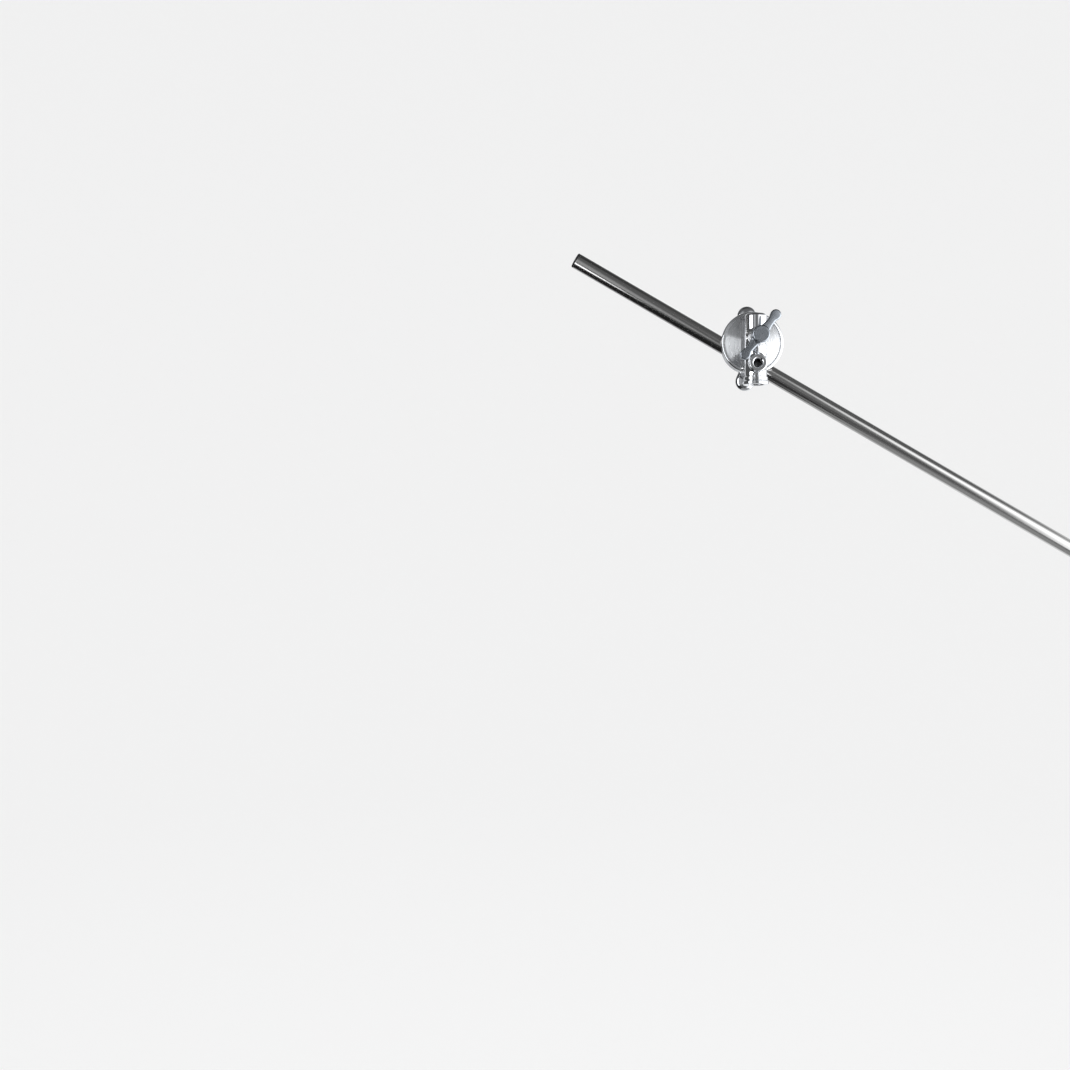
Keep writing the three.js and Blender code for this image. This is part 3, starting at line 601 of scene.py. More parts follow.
def receiver_field(x, y, z):
    body = join(barrel_field(x, y, z), neck_field(x, y, z), CAST_FILLET)
    body = join(body, dish_field(x, y, z), NECK_FILLET)
    for height in BOSS_HEIGHTS:
        boss = round_bar(np.hypot(x, z - height), y, BOSS_RADIUS, BOSS_FRONT, 0, BOSS_EDGE)
        body = join(body, boss, CAST_FILLET)
    from_axis = np.hypot(x, y)
    body = cut(body, round_bar(from_axis, z, SOCKET_RADIUS, -PAST_FACE, SOCKET_DEPTH, 0.3), SOCKET_LEAD)
    for height, radius in zip(BOSS_HEIGHTS, (SPARE_HOLE_RADIUS, SCREW_HOLE_RADIUS)):
        from_screw = np.hypot(x, z - height)
        body = cut(body, round_bar(from_screw, y, radius, BOSS_FRONT - PAST_FACE, 0, 0.3), 0.3)
        body = cut(body, (from_screw - radius + y - BOSS_FRONT - COUNTERSINK) / math.sqrt(2), 0.3)
    from_pivot, from_pin = np.hypot(x, z - PIVOT_HEIGHT), np.hypot(x, y - PIN_DEPTH)
    stud_hole = round_bar(from_pivot, y, SCREW_HOLE_RADIUS, STUD_HOLE_START, DISH_BACK + PAST_FACE, 0.3)
    pin_hole = round_bar(from_pin, z, PIN_HOLE_RADIUS, PIN_HOLE_START, NECK_TOP + PAST_FACE, 0.3)
    return cut(cut(body, stud_hole), pin_hole)


VOXEL = 0.4
receiver = cast("receiver_casting", receiver_field, receiver_low, receiver_high, VOXEL)

# %% [markdown]
# The receiver has four finishes on one mesh: the buffed casting, the turned face of the dish, the ground
# flanks of the neck and the bored insides. Each face of the mesh is given its finish by where it lies,
# which a mesh keeps even when it is exported.

# %% The receiver's finishes
bored_steel = turned_face("bored_steel", (0.45, 0.45, 0.46), 0.35, 0.4, (0, 0, 0), (0, 0, 1))
dress(receiver, "receiver_body", polished_casting, dish_face, bored_steel, ground_neck)
BUFFED, TURNED, BORED, GROUND = range(4)
DISH_START = 14
FACING_FRONT = -0.97


def face_centres(piece):
    count = len(piece.data.polygons)
    centres, normals = np.zeros(count * 3), np.zeros(count * 3)
    piece.data.polygons.foreach_get("center", centres)
    piece.data.polygons.foreach_get("normal", normals)
    return centres.reshape(-1, 3) / MM, normals.reshape(-1, 3)


def receiver_slots():
    centres, normals = face_centres(receiver)
    x, y, z = centres.T
    from_pivot = np.hypot(x, z - PIVOT_HEIGHT)
    on_dish = (from_pivot < FACE_RADIUS) & (y > 2) & (np.hypot(x, y) > BARREL_RADIUS)
    beside_neck = np.abs(x) > NECK_HALF + NECK_FILLET * 0.7
    round_groove = np.abs(from_pivot - FACE_RADIUS - 1) < 1.6
    turned_part = on_dish & (beside_neck | (normals[:, 1] < FACING_FRONT)) | round_groove
    turned_part &= y > DISH_START
    in_socket = (np.hypot(x, y) < SOCKET_RADIUS + 0.3) & (z < SOCKET_DEPTH + 0.5) & (z > 0.8)
    slots = np.select([in_socket, turned_part, on_dish], [BORED, TURNED, GROUND], BUFFED).astype(np.int32)
    receiver.data.polygons.foreach_set("material_index", slots)
    return np.bincount(slots)


print("receiver faces by finish:", receiver_slots())

# %% [markdown]
# ## The jaw plates
# Two thick round plates face each other. Each has half of a wide groove for the arm, half of a narrow one
# for thinner rods, a seat for the spring and holes for two guide pins. They are fields as well: a plate
# with bars cut out of it.

# %% The jaw plates
front_jaw_front, front_jaw_back = span_y("jaw_front_plate")
rear_jaw_front, rear_jaw_back = span_y("jaw_rear_plate")
ARM_DEPTH = (front_jaw_back + rear_jaw_front) / 2
ARM_RADIUS = 8.0
ARM_OFFSET = 14.8
SMALL_ROD_RADIUS = 4.75
SMALL_ROD_OFFSET = -16.5
GROOVE_ROOM = 0.3
SPRING_SEAT_RADIUS = 6.6
SPRING_SEAT_DEPTH = 5.0
GUIDE_SPREAD = 20.0
GUIDE_RADIUS = 2.0
GUIDE_HOLE_FLOOR = 1.6
jaw_low, jaw_high = box_mm("jaw_front_plate")
JAW_RADIUS = float(jaw_high[2] - jaw_low[2]) / 2


def jaw_field(front, back, bevel, seat, pins):
    """The field of one plate: bevel is its back edge, seat and pins the ends of its holes."""

    def field(x, y, z):
        height = z - PIVOT_HEIGHT
        along = x * along_arm[0] + height * along_arm[2]
        toward = x * toward_arm[0] + height * toward_arm[2]
        from_pivot = np.hypot(x, height)
        plate = round_bar(from_pivot, y, JAW_RADIUS, front, back, 0.6)
        plate = meet(plate, (from_pivot - JAW_RADIUS + y - back + bevel) / math.sqrt(2), 0.6)
        for radius, offset in ((ARM_RADIUS, ARM_OFFSET), (SMALL_ROD_RADIUS, SMALL_ROD_OFFSET)):
            plate = cut(plate, np.hypot(toward - offset, y - ARM_DEPTH) - radius - GROOVE_ROOM, 0.6)
        plate = cut(plate, round_bar(from_pivot, y, SPRING_SEAT_RADIUS, *seat, 0.2))
        plate = cut(plate, from_pivot - SCREW_HOLE_RADIUS)
        for side in (GUIDE_SPREAD, -GUIDE_SPREAD):
            from_pin = np.hypot(along - side, toward)
            plate = cut(plate, round_bar(from_pin, y, GUIDE_RADIUS + GROOVE_ROOM, *pins, 0.2), 0.4)
        return plate

    return field


front_seat = (front_jaw_back - SPRING_SEAT_DEPTH, front_jaw_back + PAST_FACE)
rear_seat = (rear_jaw_front - PAST_FACE, rear_jaw_front + SPRING_SEAT_DEPTH)
front_pins = (span_y("jaw_guide_pin_front")[0] - GROOVE_ROOM, front_jaw_back + PAST_FACE)
rear_pins = (rear_jaw_front - PAST_FACE, rear_jaw_back - GUIDE_HOLE_FLOOR)
front_field = jaw_field(front_jaw_front, front_jaw_back, bevel=0.9, seat=front_seat, pins=front_pins)
rear_field = jaw_field(rear_jaw_front, rear_jaw_back, bevel=2.4, seat=rear_seat, pins=rear_pins)
front_jaw = cast("jaw_front_turned_plate", front_field, *box_mm("jaw_front_plate"), VOXEL)
rear_jaw = cast("jaw_rear_turned_plate", rear_field, *box_mm("jaw_rear_plate"), VOXEL)
jaw_face = turned_face("jaw_plate", (0.58, 0.585, 0.6), 0.3, 0.6, PIVOT, (0, 1, 0))
dress(front_jaw, "jaw_front_plate", jaw_face)
dress(rear_jaw, "jaw_rear_plate", jaw_face)

# %% [markdown]
# ## The T-handles
# Both handles are one casting each: a round hub and two arms that are narrow beside the hub and end in a
# round tip. The small one's faces are nearly flat with a round edge, which is why they show as one tone
# with a bright outline; the big one's are rounder. So the outline is drawn first, flat, from a disc and a
# bar, and then given its thickness and its crown.

# %% The handles' arms
NECK_SHARE = 0.68
TIP_FILLET = 0.4


def handle_arms(centre, direction, span, tip, neck, root, hub, thickness, edge, crown, lean):
    """The field of two arms. neck and root are half widths, and hub is where they leave the hub.

    Their faces fall by lean for each millimetre outward and are crowned across by crown.
    """
    across_axis = np.array([-direction[2], 0.0, direction[0]])
    tip_place = span / 2 - tip
    neck_place = NECK_SHARE * tip_place

    def field(x, y, z):
        reach = np.abs((x - centre[0]) * direction[0] + (z - centre[2]) * direction[2])
        across = np.abs((x - centre[0]) * across_axis[0] + (z - centre[2]) * across_axis[2])
        flare = np.clip((neck_place - reach) / (neck_place - hub), 0, 1) ** 2
        bar = np.maximum(across - neck - (root - neck) * flare, reach - tip_place)
        outline = join(np.hypot(reach - tip_place, across) - tip, bar, TIP_FILLET * tip)
        fall = np.maximum(lean * (reach - hub), 0) + crown * np.clip(1 + outline / tip, 0, 1) ** 2
        depth = np.abs(y - centre[1]) - thickness / 2 + fall + edge
        return round_edge(outline + edge, depth, edge)

    return field


# %% The small handle
lock_low, lock_high = box_mm("lock_handle")
LOCK_HEIGHT = joints["lock_screw_turn"]["pos_m"][2] / MM
LOCK_FACE, LOCK_COLLAR = span_y("lock_handle")
LOCK_HUB_RADIUS = 8.6
LOCK_EDGE = 1.5
LOCK_COLLAR_RADIUS = 6.5
LOCK_COLLAR_LENGTH = 4.8
LOCK_COLLAR_START = 5
LOCK_ARM_DEPTH = 7.5
LOCK_ARM_ANGLE = math.radians(52.3)
LOCK_SPAN = 60.0
lock_centre = (0, LOCK_FACE + LOCK_ARM_DEPTH, LOCK_HEIGHT)
lock_arm = np.array([math.cos(LOCK_ARM_ANGLE), 0.0, math.sin(LOCK_ARM_ANGLE)])
lock_arms = handle_arms(
    lock_centre, lock_arm, LOCK_SPAN, tip=5.3, neck=3.7, root=4.8, hub=LOCK_HUB_RADIUS,
    thickness=8.0, edge=LOCK_EDGE, crown=0.15, lean=0.06)
screw_start, screw_end = span_y("lock_screw")


def lock_field(x, y, z):
    from_axis = np.hypot(x, z - LOCK_HEIGHT)
    head = round_bar(from_axis, y, LOCK_HUB_RADIUS, LOCK_FACE, LOCK_COLLAR - LOCK_COLLAR_LENGTH, LOCK_EDGE)
    collar = round_bar(from_axis, y, LOCK_COLLAR_RADIUS, LOCK_FACE + LOCK_COLLAR_START, LOCK_COLLAR, 0.6)
    handle = join(join(head, collar, 1.2), lock_arms(x, y, z), 1.6)
    shank_end = LOCK_COLLAR + PAST_FACE
    shank = round_bar(from_axis, y, SCREW_HOLE_RADIUS, screw_start - GROOVE_ROOM, shank_end, 0.3)
    return cut(handle, shank, 0.6)


lock_piece = cast("lock_handle_casting", lock_field, lock_low, lock_high, VOXEL * 0.75)
dress(lock_piece, "lock_handle", handle_casting)

# %% The big handle
clamp_low, clamp_high = box_mm("clamp_handle")
CLAMP_BASE, CLAMP_TOP = span_y("clamp_handle")
CLAMP_ARM_LEAN = math.radians(1.6)
CLAMP_ARM_DEPTH = 10.0
CLAMP_SPAN = 89.0
CLAMP_HUB_RADIUS = 10.6
CLAMP_DRAFT = 0.075
CLAMP_FOOT_RADIUS = 12.0
CLAMP_FOOT_HEIGHT = 4.4
BUSH_RADIUS = 7.3
clamp_centre = (0, CLAMP_BASE + CLAMP_ARM_DEPTH, PIVOT_HEIGHT)
clamp_arm = np.array([math.sin(CLAMP_ARM_LEAN), 0.0, math.cos(CLAMP_ARM_LEAN)])
clamp_arms = handle_arms(
    clamp_centre, clamp_arm, CLAMP_SPAN, tip=10.1, neck=6.8, root=10.0, hub=10.0,
    thickness=10.9, edge=3.2, crown=2.2, lean=0.02)
bush_back = span_y("clamp_handle_insert")[1]


def clamp_field(x, y, z):
    from_pivot = np.hypot(x, z - PIVOT_HEIGHT)
    taper = from_pivot - CLAMP_HUB_RADIUS + (y - CLAMP_BASE) * CLAMP_DRAFT
    hub = meet(round_bar(from_pivot, y, CLAMP_FOOT_RADIUS, CLAMP_BASE, CLAMP_TOP, 1.5), taper, 1.0)
    foot = round_bar(from_pivot, y, CLAMP_FOOT_RADIUS, CLAMP_BASE, CLAMP_BASE + CLAMP_FOOT_HEIGHT, 1.4)
    handle = join(join(hub, foot, 1.2), clamp_arms(x, y, z), 3.0)
    bush = round_bar(from_pivot, y, BUSH_RADIUS, CLAMP_BASE - PAST_FACE, bush_back + GROOVE_ROOM, 0.3)
    return cut(cut(handle, bush), from_pivot - SCREW_HOLE_RADIUS, 0.8)


clamp_piece = cast("clamp_handle_casting", clamp_field, clamp_low, clamp_high, VOXEL)
dress(clamp_piece, "clamp_handle", clamp_handle_casting)

# %% [markdown]
# ## Threads
# A thread is one groove that climbs by its pitch in each turn. Here the screw is a fine grid of points
# round its axis, and the radius of each point depends on how far it has climbed minus how far it has
# turned: that alone makes a true helix, with no boolean.

# %% Threaded rods
THREAD_RADIUS = 5.0
THREAD_PITCH = 1.5
THREAD_DEPTH = 0.8
THREAD_GROOVE = 1.15
THREAD_CHAMFER = 1.0
THREAD_SIDES = 48
THREAD_STEPS = 8
SHARP_ANGLE = 40


def ring_faces(rows, sides):
    """The quads between rings of points, and a cap on each end."""
    faces = []
    for row in range(rows):
        low, high = row * sides, (row + 1) * sides
        for side in range(sides):
            after = (side + 1) % sides
            faces.append([low + side, low + after, high + after, high + side])
    return faces + [list(range(sides))[::-1], list(range(rows * sides, (rows + 1) * sides))]


def threaded_rod(name, start, end, thread_start, place):
    """A rod along its own Z with a thread from thread_start to its end."""
    step = THREAD_PITCH / THREAD_STEPS
    count = round((end - start) / step)
    heights = np.linspace(start, end, count + 1)
    angles = np.arange(THREAD_SIDES) * 2 * np.pi / THREAD_SIDES
    height, angle = np.meshgrid(heights, angles, indexing="ij")
    phase = (height / THREAD_PITCH - angle / (2 * np.pi)) % 1.0
    groove = np.clip(THREAD_GROOVE - np.abs(2 * phase - 1) * 2, 0, 1) * THREAD_DEPTH
    fade = np.clip((height - thread_start) / THREAD_PITCH, 0, 1)
    radii = THREAD_RADIUS - groove * fade
    from_end = np.minimum(height - start, end - height)
    chamfered = THREAD_RADIUS - THREAD_CHAMFER + np.clip(from_end, 0, THREAD_CHAMFER)
    radii = np.minimum(radii, chamfered)
    points = np.stack([radii * np.cos(angle), radii * np.sin(angle), height], axis=2).reshape(-1, 3)
    made = mesh_object(name, points, ring_faces(count, THREAD_SIDES), place)
    made.data.set_sharp_from_angle(angle=math.radians(SHARP_ANGLE))
    return made


stud_start, stud_end = span_y("main_stud")
stud = threaded_rod("main_stud_thread", stud_start, stud_end, rear_jaw_back, ON_PIVOT)
dress(stud, "main_stud", plated_steel)

screw_place = axis_place((0, 0, LOCK_HEIGHT), (0, 1, 0))
screw = threaded_rod("lock_screw_thread", screw_start, screw_end, screw_start, screw_place)
dress(screw, "lock_screw", plated_steel)

# %% [markdown]
# ## Washers, pins and the nut
# The small turned parts sit on the stud in the order that they are put on: fibre disc, jaws, bronze washer,
# hardened washer, handle and nut. Each takes its width and thickness from its CAD node.

# %% Washers and the insert
def pivot_ring(name, node, finish, edge=EDGE_ROUND):
    """A washer or disc about the pivot, as wide and thick as its CAD node."""
    low, high = box_mm(node)
    radius, hole = (high[2] - low[2]) / 2, SCREW_HOLE_RADIUS
    profile = [(hole, low[1]), (radius, low[1]), (radius, high[1]), (hole, high[1])]
    dress(turned(name, rounded(profile, edge, closed=True), ON_PIVOT, closed=True), node, finish)


pivot_ring("friction_disc_fibre", "friction_disc", friction_fibre, edge=0.2)
pivot_ring("bearing_washer_bronze", "bearing_washer", bronze)
pivot_ring("thrust_washer_steel", "thrust_washer", plated_steel)
pivot_ring("clamp_handle_bush", "clamp_handle_insert", plated_steel)


# %% Pins
PIN_DOME = 0.5


def domed_pin(name, node, place, axis):
    low, high = box_mm(node)
    start, end = float(low[axis]), float(high[axis])
    radius = float(high[0] - low[0]) / 2
    profile = rounded([(0, start), (radius, start), (radius, end), (0, end)], PIN_DOME)
    return turned(name, profile, place, sides=48)


for name in ("jaw_guide_pin_front", "jaw_guide_pin_rear"):
    low, high = box_mm(name)
    middle = (low + high) / 2
    pin = domed_pin(name + "_dowel", name, axis_place((middle[0], 0, middle[2]), (0, 1, 0)), 1)
    dress(pin, name, plated_steel)
cross_pin = domed_pin("stud_pin_dowel", "stud_pin", axis_place((0, PIN_DEPTH, 0), (0, 0, 1)), 2)
dress(cross_pin, "stud_pin", plated_steel)

# %% The nut and the lock pad
nut_front, nut_back = span_y("stud_end_nut")
NUT_HALF = 8.5
NUT_CHAMFER_RISE, NUT_CHAMFER_START = 1.7, 0.3


def nut_field(x, y, z):
    height = z - PIVOT_HEIGHT
    flats = [np.abs(x * math.cos(a) + height * math.sin(a)) for a in np.radians((0, 60, 120)) + np.pi / 6]
    prism = np.maximum(np.maximum(flats[0], flats[1]), flats[2]) - NUT_HALF
    body = meet(prism, np.abs(y - (nut_front + nut_back) / 2) - (nut_back - nut_front) / 2, 0.2)
    from_axis = np.hypot(x, height)
    for outward in (y - nut_back, nut_front - y):
        chamfer = from_axis + NUT_CHAMFER_RISE * outward - NUT_HALF - NUT_CHAMFER_START
        body = meet(body, chamfer / 2, 0.2)
    return cut(body, from_axis - SCREW_HOLE_RADIUS, 0.6)


nut = cast("stud_end_hex_nut", nut_field, *box_mm("stud_end_nut"), VOXEL * 0.75)
dress(nut, "stud_end_nut", plated_steel)

PAD_PIN_RADIUS = 2
PAD_RADIUS = 4.4
PAD_THICKNESS = 2
pad_front, pad_back = span_y("lock_pad")
pad_neck = pad_back - PAD_THICKNESS
pad_profile = [(0, pad_front), (PAD_PIN_RADIUS, pad_front), (PAD_PIN_RADIUS, pad_neck)]
pad_profile += [(PAD_RADIUS, pad_neck), (PAD_RADIUS, pad_back), (0, pad_back)]
pad = turned("lock_pad_bronze", rounded(pad_profile), screw_place, sides=64)
dress(pad, "lock_pad", bronze)

# %% [markdown]
# ## The spring
# The spring pushes the jaws apart when the handle is loosened. It is a helix of round wire whose ends lie in the
# two plates' seats, so it has to stretch as the rear plate moves. Here it is built once, in place, and rides on no
# body.

# %% The spring
SPRING_WIRE = 0.8
SPRING_COILS = 5
SPRING_STEPS = 40
SPRING_SIDES = 10
SPRING_RINGS = SPRING_COILS * SPRING_STEPS
spring_start, spring_end = span_y("jaw_spring")
spring_low, spring_high = box_mm("jaw_spring")
spring_radius = float(spring_high[2] - spring_low[2] - SPRING_WIRE) / 2


def spring_points():
    points = []
    length = spring_end - spring_start - SPRING_WIRE
    for step in range(SPRING_RINGS + 1):
        angle = 2 * math.pi * step / SPRING_STEPS
        climb = spring_start + SPRING_WIRE / 2 + length * step / SPRING_RINGS
        centre = np.array([spring_radius * math.cos(angle), climb, spring_radius * math.sin(angle)])
        outward = np.array([math.cos(angle), 0, math.sin(angle)])
        for side in range(SPRING_SIDES):
            turn = 2 * math.pi * side / SPRING_SIDES
            wire = outward * math.cos(turn) + np.array([0, 1, 0]) * math.sin(turn)
            points.append(centre + wire * SPRING_WIRE / 2 + [0, 0, PIVOT_HEIGHT])
    return points


# Reversed like this, the faces look into the wire. It doesn't show here, but without [::-1] they look out.
spring_faces = [face[::-1] for face in ring_faces(SPRING_RINGS, SPRING_SIDES)]
spring = mesh_object("jaw_spring_wire", spring_points(), spring_faces)
spring.data.materials.append(plated_steel.material)
spring_from, spring_to = (0, spring_start * MM, PIVOT_HEIGHT * MM), (0, spring_end * MM, PIVOT_HEIGHT * MM)
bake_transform(spring)
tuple(spring_from)
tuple(spring_to)
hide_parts("jaw_spring")

# %% [markdown]
# ## The arm
# The arm is a tube with a moulded plug in each end. Its length and ends are measured along the arm's own
# direction, by looking at how far each CAD node's points reach along it.

# %% The arm and its plugs
arm_centre = toward_arm * ARM_OFFSET + [0, ARM_DEPTH, PIVOT_HEIGHT]
arm_place = axis_place(arm_centre, along_arm)
ARM_WALL = 2.5
PLUG_FLANGE = 1.5
PLUG_EDGE = 0.8
TUBE_EDGE = 0.4


def reach_along_arm(node):
    points = np.array([v.co for v in frame["nodes"][node].data.vertices]) / MM
    reach = (points - arm_centre) @ along_arm
    return float(reach.min()), float(reach.max())


tube_rear, tube_front = reach_along_arm("arm_tube")
bore = ARM_RADIUS - ARM_WALL
tube_profile = [(bore, tube_rear), (ARM_RADIUS, tube_rear), (ARM_RADIUS, tube_front), (bore, tube_front)]
tube = turned("arm_steel_tube", rounded(tube_profile, TUBE_EDGE, closed=True), arm_place, closed=True)
dress(tube, "arm_tube", arm_steel)
print("arm tube, mm:", round(tube_front - tube_rear, 1))


def plug(name, node, outward):
    rear, front = reach_along_arm(node)
    face, root = (front, rear) if outward > 0 else (rear, front)
    flange = face - outward * PLUG_FLANGE
    spigot = bore - GROOVE_ROOM
    bevel = face - outward * PLUG_EDGE
    corners = [(0, root), (spigot, root), (spigot, flange), (ARM_RADIUS, flange), (ARM_RADIUS, bevel)]
    corners += [(ARM_RADIUS - PLUG_EDGE, face), (0, face)]
    made = turned(name, rounded(corners[::outward]), arm_place, sides=96)
    return dress(made, node, plug_plastic)


plug("arm_front_moulded_plug", "arm_front_plug", 1)
plug("arm_rear_moulded_plug", "arm_rear_plug", -1)

# %% [markdown]
# ## The studio
# The floor curves up into a backdrop all round, so that every view has the same pale ground and no
# horizon. For the camera and for reflections it is simply pale; only lamps give it the object's shadow.

# %% Floor and backdrop
FLOOR = -0.95
STUDIO_RADIUS = 4.0
COVE_RADIUS = 1.2
COVE_STEPS = 16
STUDIO_TOP = 5.0
BACKDROP = 0.96
PAPER_GLOW = 0.85


def studio_profile():
    corners = [(0, FLOOR), (STUDIO_RADIUS - COVE_RADIUS, FLOOR)]
    for step in range(1, COVE_STEPS + 1):
        angle = math.pi / 2 * step / COVE_STEPS
        out = STUDIO_RADIUS - COVE_RADIUS + COVE_RADIUS * math.sin(angle)
        corners.append((out, FLOOR + COVE_RADIUS * (1 - math.cos(angle))))
    return [(r / MM, z / MM) for r, z in corners + [(STUDIO_RADIUS, STUDIO_TOP)]]


studio = turned("studio_backdrop", studio_profile())
studio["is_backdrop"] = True


def pale_paper():
    paper = Finish("pale_paper", (0.8, 0.8, 0.8), 0.0, 0.9)
    seen = paper.add("ShaderNodeLightPath").outputs
    rays = seen["Is Camera Ray"]
    for kind in ("Is Glossy Ray", "Is Transmission Ray"):
        rays = paper.add("ShaderNodeMath", {0: rays, 1: seen[kind]}, operation="MAXIMUM").outputs[0]
    share = paper.add("ShaderNodeMath", {0: rays, 1: PAPER_GLOW}, operation="MULTIPLY")
    glow = paper.add("ShaderNodeEmission", {"Color": (1, 1, 1, 1), "Strength": BACKDROP})
    parts = {0: share.outputs[0], 1: paper.shader.outputs[0], 2: glow.outputs[0]}
    return paper.show(paper.add("ShaderNodeMixShader", parts))


studio.data.materials.append(pale_paper())

# %% [markdown]
# ## What the metal sees
# A photographer of polished metal lights the surroundings, not the object: white panels and dark cards are
# set round it, and their reflections draw its shape. The dome below holds such a set, and only reflections
# see it. Its shader could work the panels out for every ray, but it is quicker to paint them once on to the
# dome's own points. A panel is a window in direction: how far to the right of the camera, and how high.

# %% The reflection dome
DOME_RADIUS = 1.9
DOME_DEPTH = 0.93
DOME_SIDES = 360
DOME_RINGS = 180
ROOM = 0.22


def dome_mesh():
    """A dome whose lower half is flattened, so that it stays above the floor."""
    profile = []
    for ring in range(DOME_RINGS + 1):
        angle = math.pi * ring / DOME_RINGS - math.pi / 2
        height = DOME_DEPTH if angle < 0 else DOME_RADIUS
        profile.append((DOME_RADIUS / MM * math.cos(angle), height / MM * math.sin(angle)))
    return turned("reflection_dome", profile, sides=DOME_SIDES)


dome = dome_mesh()
dome_points = np.array([point.co for point in dome.data.vertices])
dome_points /= np.linalg.norm(dome_points, axis=1)[:, None]
dome_turn = np.degrees(np.arctan2(dome_points[:, 0], -dome_points[:, 1]))
dome_rise = np.degrees(np.arcsin(dome_points[:, 2]))
dome_light = np.full(len(dome_points), ROOM)


def window(angle, start, end, soft):
    """1 inside a stretch of angles and 0 outside it, with soft ends."""
    share = np.minimum((angle - start) / soft[0], (end - angle) / soft[1]) + 0.5
    share = np.clip(share, 0, 1)
    return share * share * (3 - 2 * share)


def panel(turn, rise, light, soft=(3, 3), soft_rise=(4, 4)):
    """Paints a light or dark panel over what the dome has so far."""
    mask = window(dome_turn, *turn, soft) * window(dome_rise, *rise, soft_rise)
    dome_light[:] = dome_light * (1 - mask) + light * mask


# %% Panels and cards
# Cards beside the camera, and the dark ceiling.
panel((-31, -12), (-20, 40), 0.45, soft=(4, 16), soft_rise=(12, 12))
panel((-8, 4), (0, 36), 0.14, soft=(8, 8), soft_rise=(8, 10))
panel((-200, 200), (36, 95), 0.14, soft=(2, 2), soft_rise=(16, 2))
panel((-200, 200), (66, 95), 0.05, soft=(2, 2), soft_rise=(16, 2))
# The backdrop, and the dark floor under the camera.
panel((112, 200), (-62, 34), BACKDROP, soft=(60, 2), soft_rise=(16, 14))
panel((-200, -140), (-62, 34), 0.66, soft=(2, 12), soft_rise=(16, 14))
panel((-30, 24), (-48, -16), 0.13, soft=(10, 10), soft_rise=(8, 10))
# The large white panel on the right, brighter in its middle.
panel((20, 44), (4, 33), 0.9, soft=(16, 10), soft_rise=(12, 14))
panel((22, 112), (-47, 23), 2.0, soft=(24, 16), soft_rise=(12, 24))
panel((46, 112), (-45, 11), 2.8, soft=(14, 10), soft_rise=(12, 4))
# Black cards on the left, and the floor.
panel((-142, -78), (-66, 50), 0.09, soft=(12, 4), soft_rise=(10, 12))
panel((-140, -25), (-64, -28), 0.02, soft=(10, 12), soft_rise=(6, 4))
panel((-200, 200), (-95, -64), 0.38, soft=(2, 2), soft_rise=(2, 16))
# The white strip on the left, with a dark card beside it.
panel((-76, -44), (-29, 24), 3.0, soft=(3, 3), soft_rise=(5, 2))
panel((-42, -36), (-60, 60), 0.08, soft=(2, 3), soft_rise=(8, 8))


# %% The dome's glow
def painted_glow():
    paint = dome.data.attributes.new("panels", "FLOAT", "POINT")
    paint.data.foreach_set("value", dome_light.astype(np.float32))
    glow = Finish("surroundings", (0, 0, 0), 0.0, 1.0)
    panels = glow.add("ShaderNodeAttribute", attribute_name="panels").outputs["Fac"]
    shine = glow.add("ShaderNodeEmission", {"Color": (0.96, 0.98, 1.0, 1), "Strength": panels})
    return glow.show(shine)


dome.data.materials.append(painted_glow())
for kind in ("camera", "diffuse", "shadow", "transmission", "volume_scatter"):
    setattr(dome, "visible_" + kind, False)
dome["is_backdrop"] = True

# %% [markdown]
# ## Lamps and the world
# Plain parts, such as the plugs, and the floor's shadow need real light. Two large soft lamps stand where
# the dome has its white panels, a third hangs above, and a dim world fills in. The lamps are kept out of
# the reflections, because the dome is there already.

# %% Soft lamps
LAMP_TARGET = Vector((0.1, 0, 0))


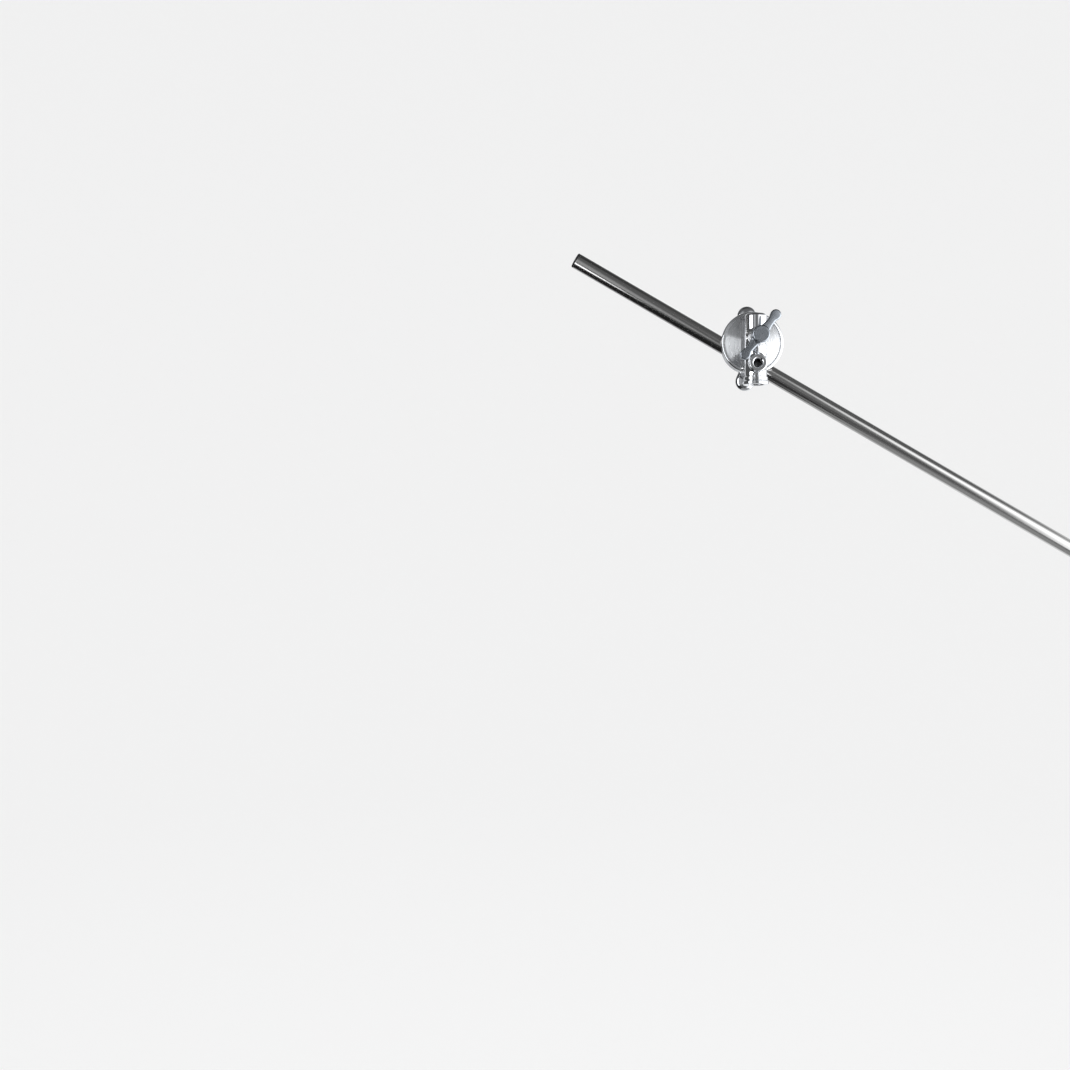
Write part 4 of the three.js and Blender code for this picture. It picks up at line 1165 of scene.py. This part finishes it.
def soft_lamp(name, place, size, power):
    lamp = bpy.data.lights.new(name, "AREA")
    lamp.shape, lamp.size, lamp.size_y, lamp.energy = "RECTANGLE", size[0], size[1], power
    made = bpy.data.objects.new(name, lamp)
    made.location = place
    made.rotation_euler = (LAMP_TARGET - made.location).to_track_quat("-Z", "Y").to_euler()
    made.visible_camera = made.visible_glossy = False
    bpy.context.scene.collection.objects.link(made)
    print(name, power, "W")


soft_lamp("left_soft_lamp", (-1.5, -1.0, 0.8), (0.7, 1.6), 14)
soft_lamp("right_soft_lamp", (1.4, -1.3, 0.9), (1.4, 1.2), 22)
soft_lamp("top_soft_lamp", (0.2, 0.3, 1.9), (1.6, 1.6), 16)

# %% The world
WORLD_LIGHT = 0.5
WORLD_SEEN = 0.9


def studio_world():
    """A dim world, which is as pale as the backdrop where the camera looks over it."""
    world = bpy.data.worlds.new("studio_world")
    world.use_nodes = True
    nodes, links = world.node_tree.nodes, world.node_tree.links
    seen = nodes.new("ShaderNodeLightPath").outputs["Is Camera Ray"]
    strength = nodes.new("ShaderNodeMath")
    strength.operation = "MULTIPLY_ADD"
    links.new(seen, strength.inputs[0])
    strength.inputs[1].default_value = WORLD_SEEN - WORLD_LIGHT
    strength.inputs[2].default_value = WORLD_LIGHT
    nodes["Background"].inputs["Color"].default_value = (0.96, 0.98, 1.0, 1)
    links.new(strength.outputs[0], nodes["Background"].inputs["Strength"])
    return world


bpy.context.scene.world = studio_world()

# %% [markdown]
# ## The camera
# The camera is level and looks along the pivot, from a little left of the head and below it. Its lens
# follows from the scale of the picture: how many pixels one radian covers at the middle of a square frame.

# %% The camera
FRAME_PIXELS = 1070
PIXELS_PER_RADIAN = 1316
SENSOR = 36
camera = bpy.data.cameras.new("studio_camera")
camera.sensor_width = SENSOR
camera.lens = PIXELS_PER_RADIAN * SENSOR / FRAME_PIXELS
camera_object = bpy.data.objects.new("studio_camera", camera)
camera_object.location = (-0.2215, -1.320, -0.1505)
camera_object.rotation_euler = (math.radians(90), 0, 0)
bpy.context.scene.collection.objects.link(camera_object)
bpy.context.scene.camera = camera_object
bpy.context.scene.view_settings.view_transform = "Standard"
print("camera lens, mm:", round(camera.lens, 1))

# %% [markdown]
# ## Measuring the result
# The fine model must be as large as the frame and no larger. The box of the fine model is printed.

# %% Sizes and the end
low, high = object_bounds()
print("visual box, mm:", [round(v / MM, 1) for v in (*low, *high)])
